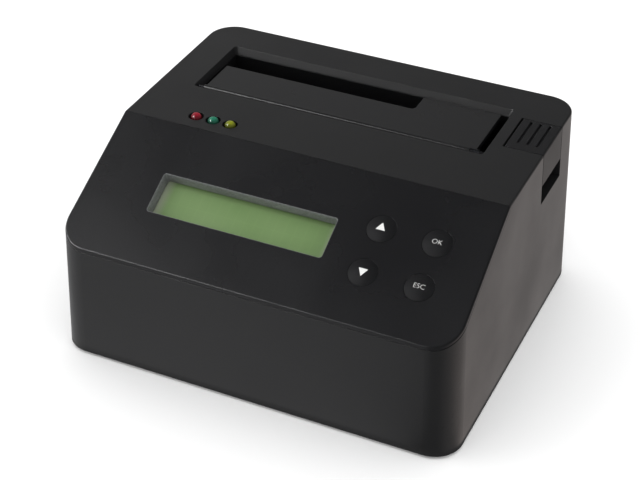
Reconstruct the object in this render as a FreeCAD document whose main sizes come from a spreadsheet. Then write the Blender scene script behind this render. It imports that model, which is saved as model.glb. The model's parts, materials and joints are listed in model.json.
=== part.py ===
"""Hard drive eraser dock: a sloped desktop housing with a drive slot, a display, keys and an eject lever.

The origin is on the surface that the dock stands on, under the middle of its footprint.
+X points to the right, +Y to the rear and +Z up. Sizes are in millimetres and degrees.
"""
import FreeCAD, Part
import math
import os
import re

import Sketcher

# Driving dimensions, one spreadsheet cell each.
SIZES = {
    # outer form: a drafted block, narrower at the deck than at the base
    "base_width": 144.4,
    "base_depth": 121.6,
    "deck_width": 140.0,
    "deck_depth": 120.2,
    "body_height": 68.1,
    "foot_proud": 1.2,
    "corner_radius": 10.0,
    "wall_thickness": 2.5,
    "deck_thickness": 2.5,
    "deck_edge_radius": 0.7,
    "slope_angle": 27.36,
    "crease_y": -12.3,
    # control panel on the slope, measured down from the crease
    "panel_thickness": 1.4,
    "panel_edge_radius": 0.65,
    "panel_seam": 0.4,
    "crease_gap": 0.15,
    "ledge_width": 3.0,
    "ledge_thickness": 2.0,
    "control_mid": 27.0,
    "window_x": -13.5,
    "window_width": 64.0,
    "window_height": 15.4,
    "window_radius": 1.2,
    "window_wall": 1.6,
    "window_skirt": 3.6,
    "post_radius": 2.5,
    "panel_rib_height": 2.0,
    "panel_rib_thickness": 1.5,
    "panel_rib_gap": 0.6,
    # keys
    "key_x": 42.8,
    "key_mid": 27.3,
    "key_pitch_across": 19.1,
    "key_pitch_along": 16.35,
    "key_diameter": 10.0,
    "key_gap": 0.12,
    "key_dome": 0.9,
    "key_flange": 1.0,
    "key_flange_thickness": 1.0,
    "key_flange_gap": 0.1,
    "key_stem_radius": 2.2,
    "key_stem_length": 1.0,
    "plunger_radius": 1.7,
    "plunger_proud": 0.9,
    "plunger_length": 1.8,
    "plunger_gap": 0.1,
    "switch_side": 6.0,
    "switch_height": 3.4,
    "switch_floor": 0.6,
    "key_board_width": 31.0,
    "key_board_height": 28.0,
    "key_post_pitch": 23.0,
    # display module
    "bezel_gap": 0.1,
    "bezel_width": 71.2,
    "bezel_height": 25.2,
    "bezel_depth": 6.6,
    "bezel_sheet": 0.5,
    "view_margin": 0.4,
    "glass_thickness": 1.2,
    "backlight_thickness": 4.5,
    "display_board_width": 80.0,
    "display_board_height": 36.0,
    "display_hole_inset": 2.5,
    "board_thickness": 1.6,
    # lamps in the deck
    "lamp_x": -39.5,
    "lamp_from_crease": 6.9,
    "lamp_pitch": 6.5,
    "lamp_diameter": 4.0,
    "lamp_length": 6.6,
    "lamp_flange": 0.45,
    "lamp_flange_height": 1.0,
    "lamp_proud": 1.2,
    "lamp_hole_diameter": 5.4,
    "lamp_spacer_height": 3.3,
    "lamp_spacer_radius": 2.5,
    "lamp_board_width": 34.0,
    "lamp_board_depth": 7.0,
    "lamp_post_pitch": 26.0,
    # drive slot and flap
    "slot_left_margin": 14.2,
    "slot_right_margin": 19.6,
    "slot_depth": 29.2,
    "slot_radius": 1.0,
    "rim_front_run": 1.4,
    "rim_side_run": 0.8,
    "rim_rear_run": 1.25,
    "bay_lip": 0.3,
    "small_slot_length": 75.0,
    "small_slot_depth": 10.8,
    "small_slot_radius": 1.6,
    "flap_left_gap": 1.9,
    "flap_right_gap": 2.6,
    "flap_rear_gap": 1.4,
    "flap_drop": 1.3,
    "flap_thickness": 1.8,
    "flap_relief_run": 2.4,
    "flap_relief_depth": 0.7,
    "flap_rib_width": 1.2,
    "flap_rib_height": 1.2,
    "flap_rib_inset": 6.0,
    "flap_rib_count": 4.0,
    "barrel_radius": 1.1,
    "barrel_drop": 0.3,
    "barrel_short": 1.7,
    "hinge_gap": 0.2,
    "hinge_pin_radius": 0.6,
    "hinge_pin_seat": 2.5,
    "pin_end_gap": 0.2,
    "running_fit": 0.05,
    "fixed_fit": 0.02,
    "spring_wire": 0.35,
    "spring_turns": 5.0,
    "spring_pitch": 0.5,
    "spring_slack": 0.1,
    # drive bay
    "bay_wall": 2.0,
    "bay_socket_gap": 0.84,
    "bay_floor_thickness": 2.0,
    "bay_lift": 6.0,
    "bay_front_relief": 2.0,
    "bay_rib_thickness": 1.7,
    "bay_rib_width": 3.0,
    "bay_rib_height": 25.0,
    "bay_rib_inset": 3.5,
    "drive_seat_height": 3.8,
    "drive_seat_width": 4.0,
    "drive_seat_pitch": 64.0,
    "bay_ear_pitch": 80.0,
    "bay_ear_reach": 4.0,
    "bay_ear_radius": 3.2,
    "bay_ear_thickness": 2.5,
    "bay_boss_length": 5.5,
    # eject mechanism
    "button_reach": 13.7,
    "button_left_gap": 0.8,
    "button_from_slot": 16.6,
    "button_width": 19.5,
    "button_side_gap": 0.4,
    "button_wall": 1.6,
    "button_top_thickness": 2.0,
    "skirt_height": 12.2,
    "notch_height": 19.4,
    "groove_inset": 7.1,
    "groove_pitch": 3.35,
    "groove_width": 1.0,
    "groove_length": 14.6,
    "groove_shift": 1.4,
    "groove_depth": 0.8,
    "well_wall": 1.5,
    "well_drop": 5.0,
    "well_floor_thickness": 2.0,
    "eject_travel": 5.0,
    "rod_inset": 7.4,
    "rod_radius": 2.0,
    "rod_guide_gap": 0.25,
    "coil_radius": 3.1,
    "coil_wire": 0.6,
    "coil_turns": 6.0,
    "coil_end_gap": 0.1,
    "lever_width": 8.0,
    "lever_half": 1.5,
    "lever_hub_radius": 2.8,
    "lever_reach": 11.0,
    "lever_overhang": 3.0,
    "lever_lift": 5.4,
    "lever_slot_height": 10.4,
    "lever_side_gap": 0.3,
    "lever_ear_reach": 1.1,
    "lever_ear_thickness": 2.0,
    "lever_pin_radius": 1.0,
    "contact_gap": 0.3,
    # base plate, feet and fasteners
    "base_thickness": 2.5,
    "base_gap": 0.25,
    "boss_inset": 10.0,
    "boss_radius": 3.6,
    "boss_web": 2.0,
    "front_boss_height": 34.0,
    "screw_radius": 1.25,
    "screw_bore_gap": 0.05,
    "screw_hole_gap": 0.35,
    "screw_head_radius": 2.6,
    "screw_head_height": 1.2,
    "screw_length": 8.0,
    "bay_screw_length": 7.0,
    "board_screw_length": 4.4,
    "pilot_spare": 1.0,
    "foot_radius": 6.0,
    "foot_sunk": 0.6,
    "foot_taper": 0.4,
    "foot_inset_across": 13.0,
    "foot_inset_along": 3.1,
    "vent_length": 12.0,
    "vent_width": 2.0,
    "vent_pitch": 6.0,
    "vent_rows": 6.0,
    "vent_x": 12.0,
    "vent_y": -18.0,
    # main board and what it carries
    "standoff_height": 3.3,
    "standoff_radius": 2.8,
    "board_boss_gap": 4.4,
    "board_wall_gap": 0.6,
    "board_hole_inset": 6.0,
    "sata_from_left": 26.8,
    "sata_from_rear": 5.0,
    "sata_length": 43.0,
    "sata_width": 5.6,
    "sata_height": 14.8,
    "sata_flange": 1.4,
    "sata_flange_height": 2.0,
    "sata_gap": 0.5,
    "sata_slot_width": 2.2,
    "sata_slot_depth": 6.0,
    "sata_signal_length": 11.0,
    "sata_power_length": 21.5,
    "sata_end_wall": 2.5,
    "sata_key": 1.3,
    "chip_side": 14.0,
    "chip_height": 1.2,
    "chip_pitch": 24.0,
    "chip_y": -14.0,
    "capacitor_radius": 3.15,
    "capacitor_height": 8.0,
    "capacitor_pitch": 9.0,
    "capacitor_x": 26.0,
    # rear sockets and switch
    "socket_sunk": 0.8,
    "socket_gap": 0.3,
    "usb_x": -8.0,
    "usb_width": 12.0,
    "usb_height": 11.0,
    "usb_depth": 13.5,
    "usb_sheet": 0.6,
    "usb_mouth_width": 8.6,
    "usb_mouth_low": 5.6,
    "usb_mouth_bevel": 1.4,
    "usb_tongue_width": 6.0,
    "usb_tongue_height": 2.6,
    "usb_tongue_rise": 1.6,
    "usb_tongue_sunk": 1.5,
    "jack_x": 16.0,
    "jack_width": 9.0,
    "jack_height": 11.0,
    "jack_depth": 13.5,
    "jack_collar_radius": 4.2,
    "jack_collar_length": 2.6,
    "jack_bore_radius": 3.15,
    "jack_bore_depth": 9.5,
    "jack_pin_radius": 1.05,
    "jack_pin_sunk": 1.5,
    "rocker_x": -38.0,
    "rocker_z": 16.5,
    "rocker_bezel_width": 15.0,
    "rocker_bezel_height": 10.6,
    "rocker_bezel_thickness": 1.2,
    "rocker_body_width": 13.2,
    "rocker_body_height": 8.8,
    "rocker_body_depth": 11.0,
    "rocker_well_width": 12.0,
    "rocker_well_height": 7.2,
    "rocker_well_depth": 8.0,
    "rocker_length": 10.8,
    "rocker_height": 6.6,
    "rocker_rise": 2.2,
    "rocker_dish": 0.7,
    "rocker_drop": 2.0,
    "rocker_tilt": 8.0,
    "rocker_pivot_depth": 3.2,
    "rocker_trunnion_radius": 0.9,
    "rocker_trunnion_length": 0.6,
    # flat lead from the display to the main board
    "ribbon_width": 16.0,
    "ribbon_thickness": 0.9,
    "ribbon_run": 16.0,
    "ribbon_bend_radius": 12.0,
    "ribbon_u": -36.0,
    "header_width": 19.0,
    "header_depth": 5.0,
    "header_height": 5.0,
}

# Places worked out from the driving dimensions.
PLACES = {
    "deck_top": "foot_proud + body_height",
    "deck_under": "deck_top - deck_thickness",
    "inner_radius": "corner_radius - wall_thickness",
    # the narrower of deck and base, which the inside has to fit
    "upper_side": "min(base_width; deck_width) / 2",
    "upper_end": "min(base_depth; deck_depth) / 2",
    "side_inner": "upper_side - wall_thickness",
    "far": "base_width + base_depth",
    "base_top": "foot_proud + base_thickness",
    "boss_x": "upper_side - boss_inset",
    "boss_y": "upper_end - boss_inset",
    "foot_x": "boss_x - foot_inset_across",
    "foot_y": "boss_y - foot_inset_along",
    "board_bottom": "base_top + standoff_height",
    "board_top": "board_bottom + board_thickness",
    # the rear face leans in, so this is its place at the height of the sockets
    "rear_face": "base_depth / 2 - (base_depth - deck_depth) / 2 * (rocker_z - foot_proud) / body_height",
    "seat_y": "crease_y + panel_thickness * sin(slope_angle)",
    "seat_z": "deck_top - panel_thickness * cos(slope_angle)",
    "slot_left": "slot_left_margin - upper_side",
    "slot_right": "upper_side - slot_right_margin",
    "slot_x": "(slot_left + slot_right) / 2",
    "slot_length": "slot_right - slot_left",
    "slot_rear": "socket_face - max(usb_depth; jack_depth) - bay_socket_gap - bay_wall",
    "slot_front": "slot_rear - slot_depth",
    "small_end": "slot_left + small_slot_length",
    "small_front": "slot_rear - small_slot_depth",
    "flap_left": "slot_left + flap_left_gap",
    "flap_right": "slot_right - flap_right_gap",
    "flap_rear": "slot_rear - flap_rear_gap",
    "flap_top": "deck_top - flap_drop",
    "flap_under": "flap_top - flap_thickness",
    "hinge_y": "slot_front + hinge_gap + barrel_radius",
    "hinge_z": "deck_top - barrel_drop - barrel_radius",
    "bay_front": "slot_front - bay_front_relief",
    "bay_floor": "board_top + bay_lift",
    "bay_bottom": "bay_floor - bay_floor_thickness",
    "bay_ear_top": "deck_under - bay_boss_length",
    "ear_front": "bay_front - bay_wall - bay_ear_reach",
    "ear_rear": "slot_rear + bay_wall + bay_ear_reach",
    "button_left": "upper_side - button_reach",
    "button_y": "slot_front + button_from_slot",
    "rod_x": "upper_side - rod_inset",
    "groove_x": "upper_side - groove_inset",
    "button_front": "button_y - button_width / 2",
    "button_rear": "button_y + button_width / 2",
    "notch_left": "button_left - button_left_gap",
    "notch_front": "button_front - button_side_gap",
    "notch_rear": "button_rear + button_side_gap",
    "notch_bottom": "deck_top - notch_height",
    "skirt_bottom": "deck_top - skirt_height",
    "well_floor": "notch_bottom - well_drop",
    "button_under": "deck_top - button_top_thickness",
    "lever_x": "slot_right + bay_wall + lever_ear_reach",
    "lever_z": "bay_floor + lever_lift",
    "lever_arm": "rod_x - lever_x",
    "lever_tilt": "atan(eject_travel / 2 / lever_arm)",
    "rod_bottom": "lever_z + eject_travel / 2"
                  " + (lever_half + rod_radius + contact_gap) / cos(lever_tilt) - rod_radius",
    "ear_span": "lever_width + 2 * lever_side_gap + 2 * lever_ear_thickness",
    "sata_x": "slot_left + sata_from_left",
    "sata_y": "slot_rear - sata_from_rear",
    "lamp_y": "crease_y + lamp_from_crease",
    "lamp_top": "deck_top + lamp_proud",
    "lamp_foot": "lamp_top - lamp_length",
    "lamp_board_top": "lamp_foot - lamp_spacer_height",
    # depths under the panel's face, along its normal
    "window_floor": "panel_thickness + window_skirt",
    "bezel_top": "window_floor + bezel_gap",
    "glass_top": "bezel_top + bezel_sheet",
    "backlight_top": "glass_top + glass_thickness",
    "display_board_top": "bezel_top + bezel_depth",
    "display_board_back": "display_board_top + board_thickness",
    "key_flange_top": "panel_thickness + key_flange_gap",
    "key_stem_end": "key_flange_top + key_flange_thickness + key_stem_length",
    "switch_top": "key_stem_end + plunger_proud",
    "key_board_top": "switch_top + switch_height",
    "key_radius": "key_diameter / 2 - key_gap",
    "socket_face": "rear_face - socket_sunk",
    "rocker_seat": "rear_face - rocker_bezel_thickness",
    "rocker_pivot": "rear_face - rocker_pivot_depth",
    "ribbon_top_depth": "display_board_back + header_height",
    "ribbon_start_y": "crease_y + ribbon_u * cos(slope_angle) + ribbon_top_depth * sin(slope_angle)",
    "ribbon_start_z": "deck_top + ribbon_u * sin(slope_angle) - ribbon_top_depth * cos(slope_angle)",
    "ribbon_turn_y": "ribbon_start_y + ribbon_run * sin(slope_angle)",
    "ribbon_turn_z": "ribbon_start_z - ribbon_run * cos(slope_angle)",
    "ribbon_tangent": "ribbon_bend_radius * tan(slope_angle / 2)",
    "header_top": "board_top + header_height",
    "board_right": "boss_x - boss_radius - board_boss_gap",
    "board_left": "-board_right",
    "board_front": "ribbon_turn_y - header_depth",
    "board_rear": "upper_end - wall_thickness - board_wall_gap",
}

doc = FreeCAD.newDocument("eraser_dock")
sheet = doc.addObject("Spreadsheet::Sheet", "sizes")
for row, (alias, number) in enumerate(SIZES.items(), 1):
    sheet.set(f"A{row}", alias)
    sheet.set(f"B{row}", str(number))
    sheet.setAlias(f"B{row}", alias)
doc.recompute()

SIDES = (-1, 1)
QUARTER_TURN = 90
COIL_STEPS = 12
sub_parts = []


# Expressions and values.

def ex(text):
    """Turn the names of sizes and places in a formula into a spreadsheet expression."""
    def swap(match):
        word = match.group(0)
        if word in PLACES:
            return f"({ex(PLACES[word])})"
        return f"sizes.{word}" if word in SIZES else word
    return re.sub(r"[A-Za-z_]\w*", swap, str(text))


def value(text):
    """The present number of a formula."""
    return float(sheet.evalExpression(ex(text)))


def bind(item, **formulas):
    """Bind properties to formulas; a double underscore stands for a dot in the property's path."""
    for path, formula in formulas.items():
        item.setExpression(path.replace("__", "."), ex(formula))


# Sketches, with every point bound to the sheet.

def new_body(label):
    return doc.addObject("PartDesign::Body", label)


def sketch(body, plane="XY_Plane", x="0", y="0", z="0"):
    """A sketch on one of the body's origin planes, shifted in that plane's own axes."""
    drawing = body.newObject("Sketcher::SketchObject", "outline")
    origin_plane = next(item for item in body.Origin.OriginFeatures if item.Role == plane)
    drawing.AttachmentSupport = [(origin_plane, "")]
    drawing.MapMode = "FlatFace"
    bind(drawing, AttachmentOffset__Base__x=x, AttachmentOffset__Base__y=y, AttachmentOffset__Base__z=z)
    return drawing


def pin(drawing, curve, end, x, y):
    """Bind one end of a curve to a place."""
    for kind, formula in (("DistanceX", x), ("DistanceY", y)):
        index = drawing.addConstraint(Sketcher.Constraint(kind, -1, 1, curve, end, value(formula)))
        drawing.setExpression(f"Constraints[{index}]", ex(formula))


def point(x, y):
    return FreeCAD.Vector(value(x), value(y), 0)


def polygon(drawing, corners):
    """A closed outline of straight edges through the given corners."""
    first = drawing.GeometryCount
    count = len(corners)
    for i, corner in enumerate(corners):
        drawing.addGeometry(Part.LineSegment(point(*corner), point(*corners[(i + 1) % count])), False)
    for i, corner in enumerate(corners):
        drawing.addConstraint(Sketcher.Constraint("Coincident", first + i, 2, first + (i + 1) % count, 1))
        pin(drawing, first + i, 1, *corner)
    return drawing


def rectangle(drawing, x0, x1, y0, y1):
    return polygon(drawing, [(x0, y0), (x1, y0), (x1, y1), (x0, y1)])


def plate(drawing, x, y, width, height):
    """A rectangle about a middle point."""
    return rectangle(drawing, f"{x} - ({width}) / 2", f"{x} + ({width}) / 2",
                     f"{y} - ({height}) / 2", f"{y} + ({height}) / 2")


def circle(drawing, x, y, radius):
    curve = drawing.addGeometry(Part.Circle(point(x, y), FreeCAD.Vector(0, 0, 1), value(radius)), False)
    pin(drawing, curve, 3, x, y)
    index = drawing.addConstraint(Sketcher.Constraint("Radius", curve, value(radius)))
    drawing.setExpression(f"Constraints[{index}]", ex(radius))
    return drawing


def arc(drawing, x, y, radius, start, stop):
    """An arc about a bound centre, with a bound radius, between two angles in degrees."""
    whole = Part.Circle(point(x, y), FreeCAD.Vector(0, 0, 1), value(radius))
    curve = drawing.addGeometry(Part.ArcOfCircle(whole, math.radians(start), math.radians(stop)), False)
    pin(drawing, curve, 3, x, y)
    index = drawing.addConstraint(Sketcher.Constraint("Radius", curve, value(radius)))
    drawing.setExpression(f"Constraints[{index}]", ex(radius))
    return curve


def line(drawing, start, stop):
    return drawing.addGeometry(Part.LineSegment(point(*start), point(*stop)), False)


def tangent(drawing, first, first_end, second, second_end):
    drawing.addConstraint(Sketcher.Constraint("Tangent", first, first_end, second, second_end))


def rounded(drawing, x, y, width, height, radius):
    """A rectangle with round corners about a middle point."""
    half_x = f"(({width}) / 2 - ({radius}))"
    half_y = f"(({height}) / 2 - ({radius}))"
    corners = []
    for quarter, (sx, sy) in enumerate(((1, 1), (-1, 1), (-1, -1), (1, -1))):
        corners.append(arc(drawing, f"{x} + {sx} * {half_x}", f"{y} + {sy} * {half_y}", radius,
                           QUARTER_TURN * quarter, QUARTER_TURN * (quarter + 1)))
    for here, there in zip(corners, corners[1:] + corners[:1]):
        ends = (drawing.getPoint(here, 2), drawing.getPoint(there, 1))
        edge = drawing.addGeometry(Part.LineSegment(*ends), False)
        tangent(drawing, here, 2, edge, 1)
        tangent(drawing, edge, 2, there, 1)
    return drawing


def turned(drawing, steps, tip):
    """A half outline about the vertical axis: straight steps from the axis, closed by a round tip."""
    last_x, last_y = (value(item) for item in steps[-1])
    top = value(tip)
    rise = top - last_y
    middle = top - (last_x ** 2 + rise ** 2) / (2 * rise)
    for here, there in zip(steps, steps[1:]):
        line(drawing, here, there)
    count = len(steps) - 1
    for i in range(count - 1):
        drawing.addConstraint(Sketcher.Constraint("Coincident", i, 2, i + 1, 1))
    for i in range(count):
        pin(drawing, i, 1, *steps[i])
    pin(drawing, count - 1, 2, *steps[-1])
    axis = line(drawing, ("0", tip), steps[0])
    pin(drawing, axis, 1, "0", tip)
    drawing.addConstraint(Sketcher.Constraint("Coincident", axis, 2, 0, 1))
    centre = FreeCAD.Vector(0, middle, 0)
    whole = Part.Circle(centre, FreeCAD.Vector(0, 0, 1), abs(top - middle))
    side = math.atan2(last_y - middle, last_x)
    upward = rise > 0
    angles = (side, math.pi / 2) if upward else (-math.pi / 2, side)
    dome = drawing.addGeometry(Part.ArcOfCircle(whole, *angles), False)
    drawing.addConstraint(Sketcher.Constraint("Coincident", dome, 1 if upward else 2, count - 1, 2))
    drawing.addConstraint(Sketcher.Constraint("Coincident", dome, 2 if upward else 1, axis, 1))
    drawing.addConstraint(Sketcher.Constraint("PointOnObject", dome, 3, -2))
    return drawing


# Features.

def pad(body, drawing, length, reverse=False, middle=False, cut=False):
    """Raise a sketch, or cut it out, by a length along its normal."""
    kind = "PartDesign::Pocket" if cut else "PartDesign::Pad"
    feature = body.newObject(kind, "cut" if cut else "pad")
    feature.Profile = drawing
    feature.Reversed = reverse
    feature.SideType = "Symmetric" if middle else "One side"
    bind(feature, Length=length)
    return feature


def pocket(body, drawing, length, reverse=False, middle=False):
    return pad(body, drawing, length, reverse, middle, cut=True)


def loft(body, lower, upper, cut=False):
    kind = "PartDesign::SubtractiveLoft" if cut else "PartDesign::AdditiveLoft"
    feature = body.newObject(kind, "hollow" if cut else "form")
    feature.Profile = lower
    feature.Sections = [upper]
    feature.Ruled = True
    return feature


def revolve(body, drawing):
    feature = body.newObject("PartDesign::Revolution", "turning")
    feature.Profile = drawing
    feature.ReferenceAxis = (drawing, ["V_Axis"])
    feature.Angle = 360
    return feature


def coil(label, radius, wire, pitch, turns):
    """A spring about the Z axis, as flat facets between square sections of its wire."""
    spring = doc.addObject("Part::Feature", label)
    up = FreeCAD.Vector(0, 0, value(wire) / 2)
    rings = []
    for step in range(round(value(turns) * COIL_STEPS) + 1):
        angle = 2 * math.pi * step / COIL_STEPS
        out = FreeCAD.Vector(math.cos(angle), math.sin(angle), 0)
        middle = out * value(radius) + FreeCAD.Vector(0, 0, value(pitch) * step / COIL_STEPS)
        half = out * (value(wire) / 2)
        rings.append([middle + half, middle + up, middle - half, middle - up])
    faces = [facet(rings[0]), facet(rings[-1][::-1])]
    for here, there in zip(rings, rings[1:]):
        for i in range(4):
            j = (i + 1) % 4
            faces.append(facet([here[i], there[i], there[j]]))
            faces.append(facet([here[i], there[j], here[j]]))
    spring.Shape = Part.makeSolid(Part.makeShell(faces))
    return spring


def facet(corners):
    return Part.Face(Part.makePolygon(corners + corners[:1]))


def dress(body, kind, feature, wanted, **formulas):
    """Round or bevel those edges of a feature that pass a test."""
    doc.recompute()
    names = [f"Edge{i}" for i, edge in enumerate(feature.Shape.Edges, 1) if wanted(edge)]
    dressing = body.newObject(f"PartDesign::{kind}", kind.lower())
    dressing.Base = (feature, names)
    bind(dressing, **formulas)
    return dressing


def ends_and_middle(edge):
    """Three points of an edge, enough to tell which plane a line or an arc lies in."""
    first, last = edge.ParameterRange
    return [edge.valueAt(first), edge.valueAt((first + last) / 2), edge.valueAt(last)]


def put(item, x="0", y="0", z="0", axis=(1, 0, 0), angle="0"):
    """Place an object, turned about one axis."""
    item.Placement = FreeCAD.Placement(FreeCAD.Vector(), FreeCAD.Rotation(FreeCAD.Vector(*axis), 1))
    bind(item, Placement__Base__x=x, Placement__Base__y=y, Placement__Base__z=z,
         Placement__Rotation__Angle=angle)
    return item


def put_on_panel(item, x="0", u="0"):
    """Place an object in the panel's frame: u runs up the slope from the crease, z out of the face."""
    return put(item, x, f"crease_y + ({u}) * cos(slope_angle)", f"deck_top + ({u}) * sin(slope_angle)",
               angle="slope_angle")


def sub_part(item, label=None):
    """Count an object as one piece of the dock."""
    item.Label = label or item.Label
    sub_parts.append(item)
    return item


def group(label, pieces):
    """Several equal solids as one piece."""
    compound = doc.addObject("Part::Compound", label)
    compound.Links = pieces
    return sub_part(compound)


def screw(length):
    """A pan-head screw that points up from its seat."""
    body = new_body("screw")
    drawing = sketch(body, "XZ_Plane")
    polygon(drawing, [("0", "-screw_head_height"), ("screw_head_radius", "-screw_head_height"),
                      ("screw_head_radius", "0"), ("screw_radius", "0"), ("screw_radius", length),
                      ("0", length)])
    revolve(body, drawing)
    return body


# The outer form that the shell, the panel and the eject button share.

def outer_form(body):
    lower = rounded(sketch(body, z="foot_proud"), "0", "0", "base_width", "base_depth", "corner_radius")
    upper = rounded(sketch(body, z="deck_top"), "0", "0", "deck_width", "deck_depth", "corner_radius")
    return loft(body, lower, upper)


def on_slope(u, depth):
    """A corner in the side view, u up the slope from the crease and some depth under the panel's face."""
    return (f"crease_y + ({u}) * cos(slope_angle) + ({depth}) * sin(slope_angle)",
            f"deck_top + ({u}) * sin(slope_angle) - ({depth}) * cos(slope_angle)")


def slope_place(where):
    """A point's place up the slope from the crease, and its depth under the panel's face."""
    angle = math.radians(value("slope_angle"))
    along = where.y - value("crease_y")
    rise = where.z - value("deck_top")
    return along * math.cos(angle) + rise * math.sin(angle), along * math.sin(angle) - rise * math.cos(angle)


def wall_middle(z):
    """The middle of a side wall's thickness at some height, which leans with the draft."""
    lean = f"(deck_width - base_width) * ({z} - foot_proud) / body_height"
    return f"((base_width + {lean} - wall_thickness) / 2)"


def near(first, second):
    return abs(first - second) < 0.001


# Housing.

def make_upper_shell():
    body = new_body("upper_shell")
    outer_form(body)
    slope = polygon(sketch(body, "YZ_Plane"), [
        ("crease_y", "deck_top"), ("seat_y", "seat_z"), on_slope("-far", "panel_thickness"),
        ("-far", "deck_top + far"), ("crease_y", "deck_top + far")])
    wedge = pocket(body, slope, "2 * far", middle=True)
    deck_top = value("deck_top")
    crease_y = value("crease_y")

    def deck_rim(edge):
        places = ends_and_middle(edge)
        return all(near(p.z, deck_top) for p in places) and not near(places[1].y, crease_y)

    dress(body, "Fillet", wedge, deck_rim, Radius="deck_edge_radius")
    hollow_low = rounded(sketch(body, z="foot_proud"), "0", "0", "base_width - 2 * wall_thickness",
                         "base_depth - 2 * wall_thickness", "inner_radius")
    hollow_top = rounded(sketch(body, z="deck_under"), "0", "0", "deck_width - 2 * wall_thickness",
                         "deck_depth - 2 * wall_thickness", "inner_radius")
    loft(body, hollow_low, hollow_top, cut=True)

    # ledge under the crease that carries the panel's upper edge
    ledge = polygon(sketch(body, "YZ_Plane"), [
        ("seat_y", "seat_z"), on_slope("-ledge_width", "panel_thickness"),
        on_slope("-ledge_width", "panel_thickness + ledge_thickness"),
        ("crease_y + ledge_width", "deck_under - ledge_thickness"),
        ("crease_y + ledge_width", "deck_under + deck_thickness / 2")])
    pad(body, ledge, "deck_width - wall_thickness", middle=True)

    # screw bosses in the four corners, each tied to the side wall by a web
    for side_y, height in ((-1, "front_boss_height"), (1, "deck_under - base_top")):
        webs = sketch(body, "XZ_Plane", z=f"{-side_y} * boss_y")
        bosses = sketch(body, z="base_top")
        top = f"(base_top + {height})"
        for side_x in SIDES:
            polygon(webs, [(f"{side_x} * boss_x", "base_top"),
                           (f"{side_x} * {wall_middle('base_top')}", "base_top"),
                           (f"{side_x} * {wall_middle(top)}", top), (f"{side_x} * boss_x", top)])
            circle(bosses, f"{side_x} * boss_x", f"{side_y} * boss_y", "boss_radius")
        pad(body, webs, "boss_web", middle=True)
        pad(body, bosses, height)
    pilots = sketch(body, z="base_top")
    for side_x in SIDES:
        for side_y in SIDES:
            circle(pilots, f"{side_x} * boss_x", f"{side_y} * boss_y", "screw_radius + screw_bore_gap")
    pocket(body, pilots, "screw_length + pilot_spare", reverse=True)

    # bosses under the deck for the drive bay, and posts for the lamp board
    hangers = sketch(body, z="bay_ear_top")
    bores = sketch(body, z="bay_ear_top")
    for side_x in SIDES:
        for ear in ("ear_front", "ear_rear"):
            circle(hangers, f"slot_x + {side_x} * bay_ear_pitch / 2", ear, "bay_ear_radius")
            circle(bores, f"slot_x + {side_x} * bay_ear_pitch / 2", ear, "screw_radius + screw_bore_gap")
    pad(body, hangers, "bay_boss_length + deck_thickness / 2")
    pocket(body, bores, "bay_boss_length", reverse=True)
    posts = sketch(body, z="lamp_board_top")
    post_bores = sketch(body, z="lamp_board_top")
    for side_x in SIDES:
        circle(posts, f"lamp_x + {side_x} * lamp_post_pitch / 2", "lamp_y", "post_radius")
        circle(post_bores, f"lamp_x + {side_x} * lamp_post_pitch / 2", "lamp_y",
               "screw_radius + screw_bore_gap")
    pad(body, posts, "deck_under - lamp_board_top + deck_thickness / 2")
    pocket(body, post_bores, "deck_under - lamp_board_top", reverse=True)

    # drive slot with its sloped rim, lamp holes and the seats of the flap's hinge pin
    lower_depth = "(slot_depth + bay_lip)"
    upper_depth = f"(rim_front_run + {lower_depth} + rim_rear_run)"
    rim_low = rounded(sketch(body, z="deck_under"), "slot_x", f"slot_front + {lower_depth} / 2",
                      "slot_length + 2 * bay_lip", lower_depth, "slot_radius")
    rim_top = rounded(sketch(body, z="deck_top"), "slot_x", f"slot_front - rim_front_run + {upper_depth} / 2",
                      "slot_length + 2 * (bay_lip + rim_side_run)", upper_depth, "slot_radius")
    loft(body, rim_low, rim_top, cut=True)
    holes = sketch(body, z="deck_top")
    for step in (-1, 0, 1):
        circle(holes, f"lamp_x + {step} * lamp_pitch", "lamp_y", "lamp_hole_diameter / 2")
    pocket(body, holes, "deck_thickness")
    seat_radius = "hinge_pin_radius + fixed_fit"
    seats = rectangle(sketch(body, "YZ_Plane", z="slot_x"), f"hinge_y - ({seat_radius})",
                      f"hinge_y + ({seat_radius})", "deck_under - deck_thickness / 2", "hinge_z")
    pocket(body, seats, "slot_length + 2 * hinge_pin_seat", middle=True)
    rounds = circle(sketch(body, "YZ_Plane", z="slot_x"), "hinge_y", "hinge_z", seat_radius)
    pocket(body, rounds, "slot_length + 2 * hinge_pin_seat", middle=True)

    # the eject button's well: a box under the deck, open upwards and through the side wall
    well = rectangle(sketch(body, z="well_floor - well_floor_thickness"), "notch_left - well_wall",
                     "side_inner + wall_thickness / 2", "notch_front - well_wall", "notch_rear + well_wall")
    pad(body, well, "deck_under - well_floor + well_floor_thickness + deck_thickness / 2")
    inside = rectangle(sketch(body, z="deck_top"), "notch_left", "side_inner", "notch_front", "notch_rear")
    pocket(body, inside, "deck_top - well_floor")
    notch = rectangle(sketch(body, z="deck_top"), "notch_left", "base_width", "notch_front", "notch_rear")
    pocket(body, notch, "notch_height")
    guide = circle(sketch(body, z="well_floor"), "rod_x", "button_y", "rod_radius + rod_guide_gap")
    pocket(body, guide, "well_floor_thickness")

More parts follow.
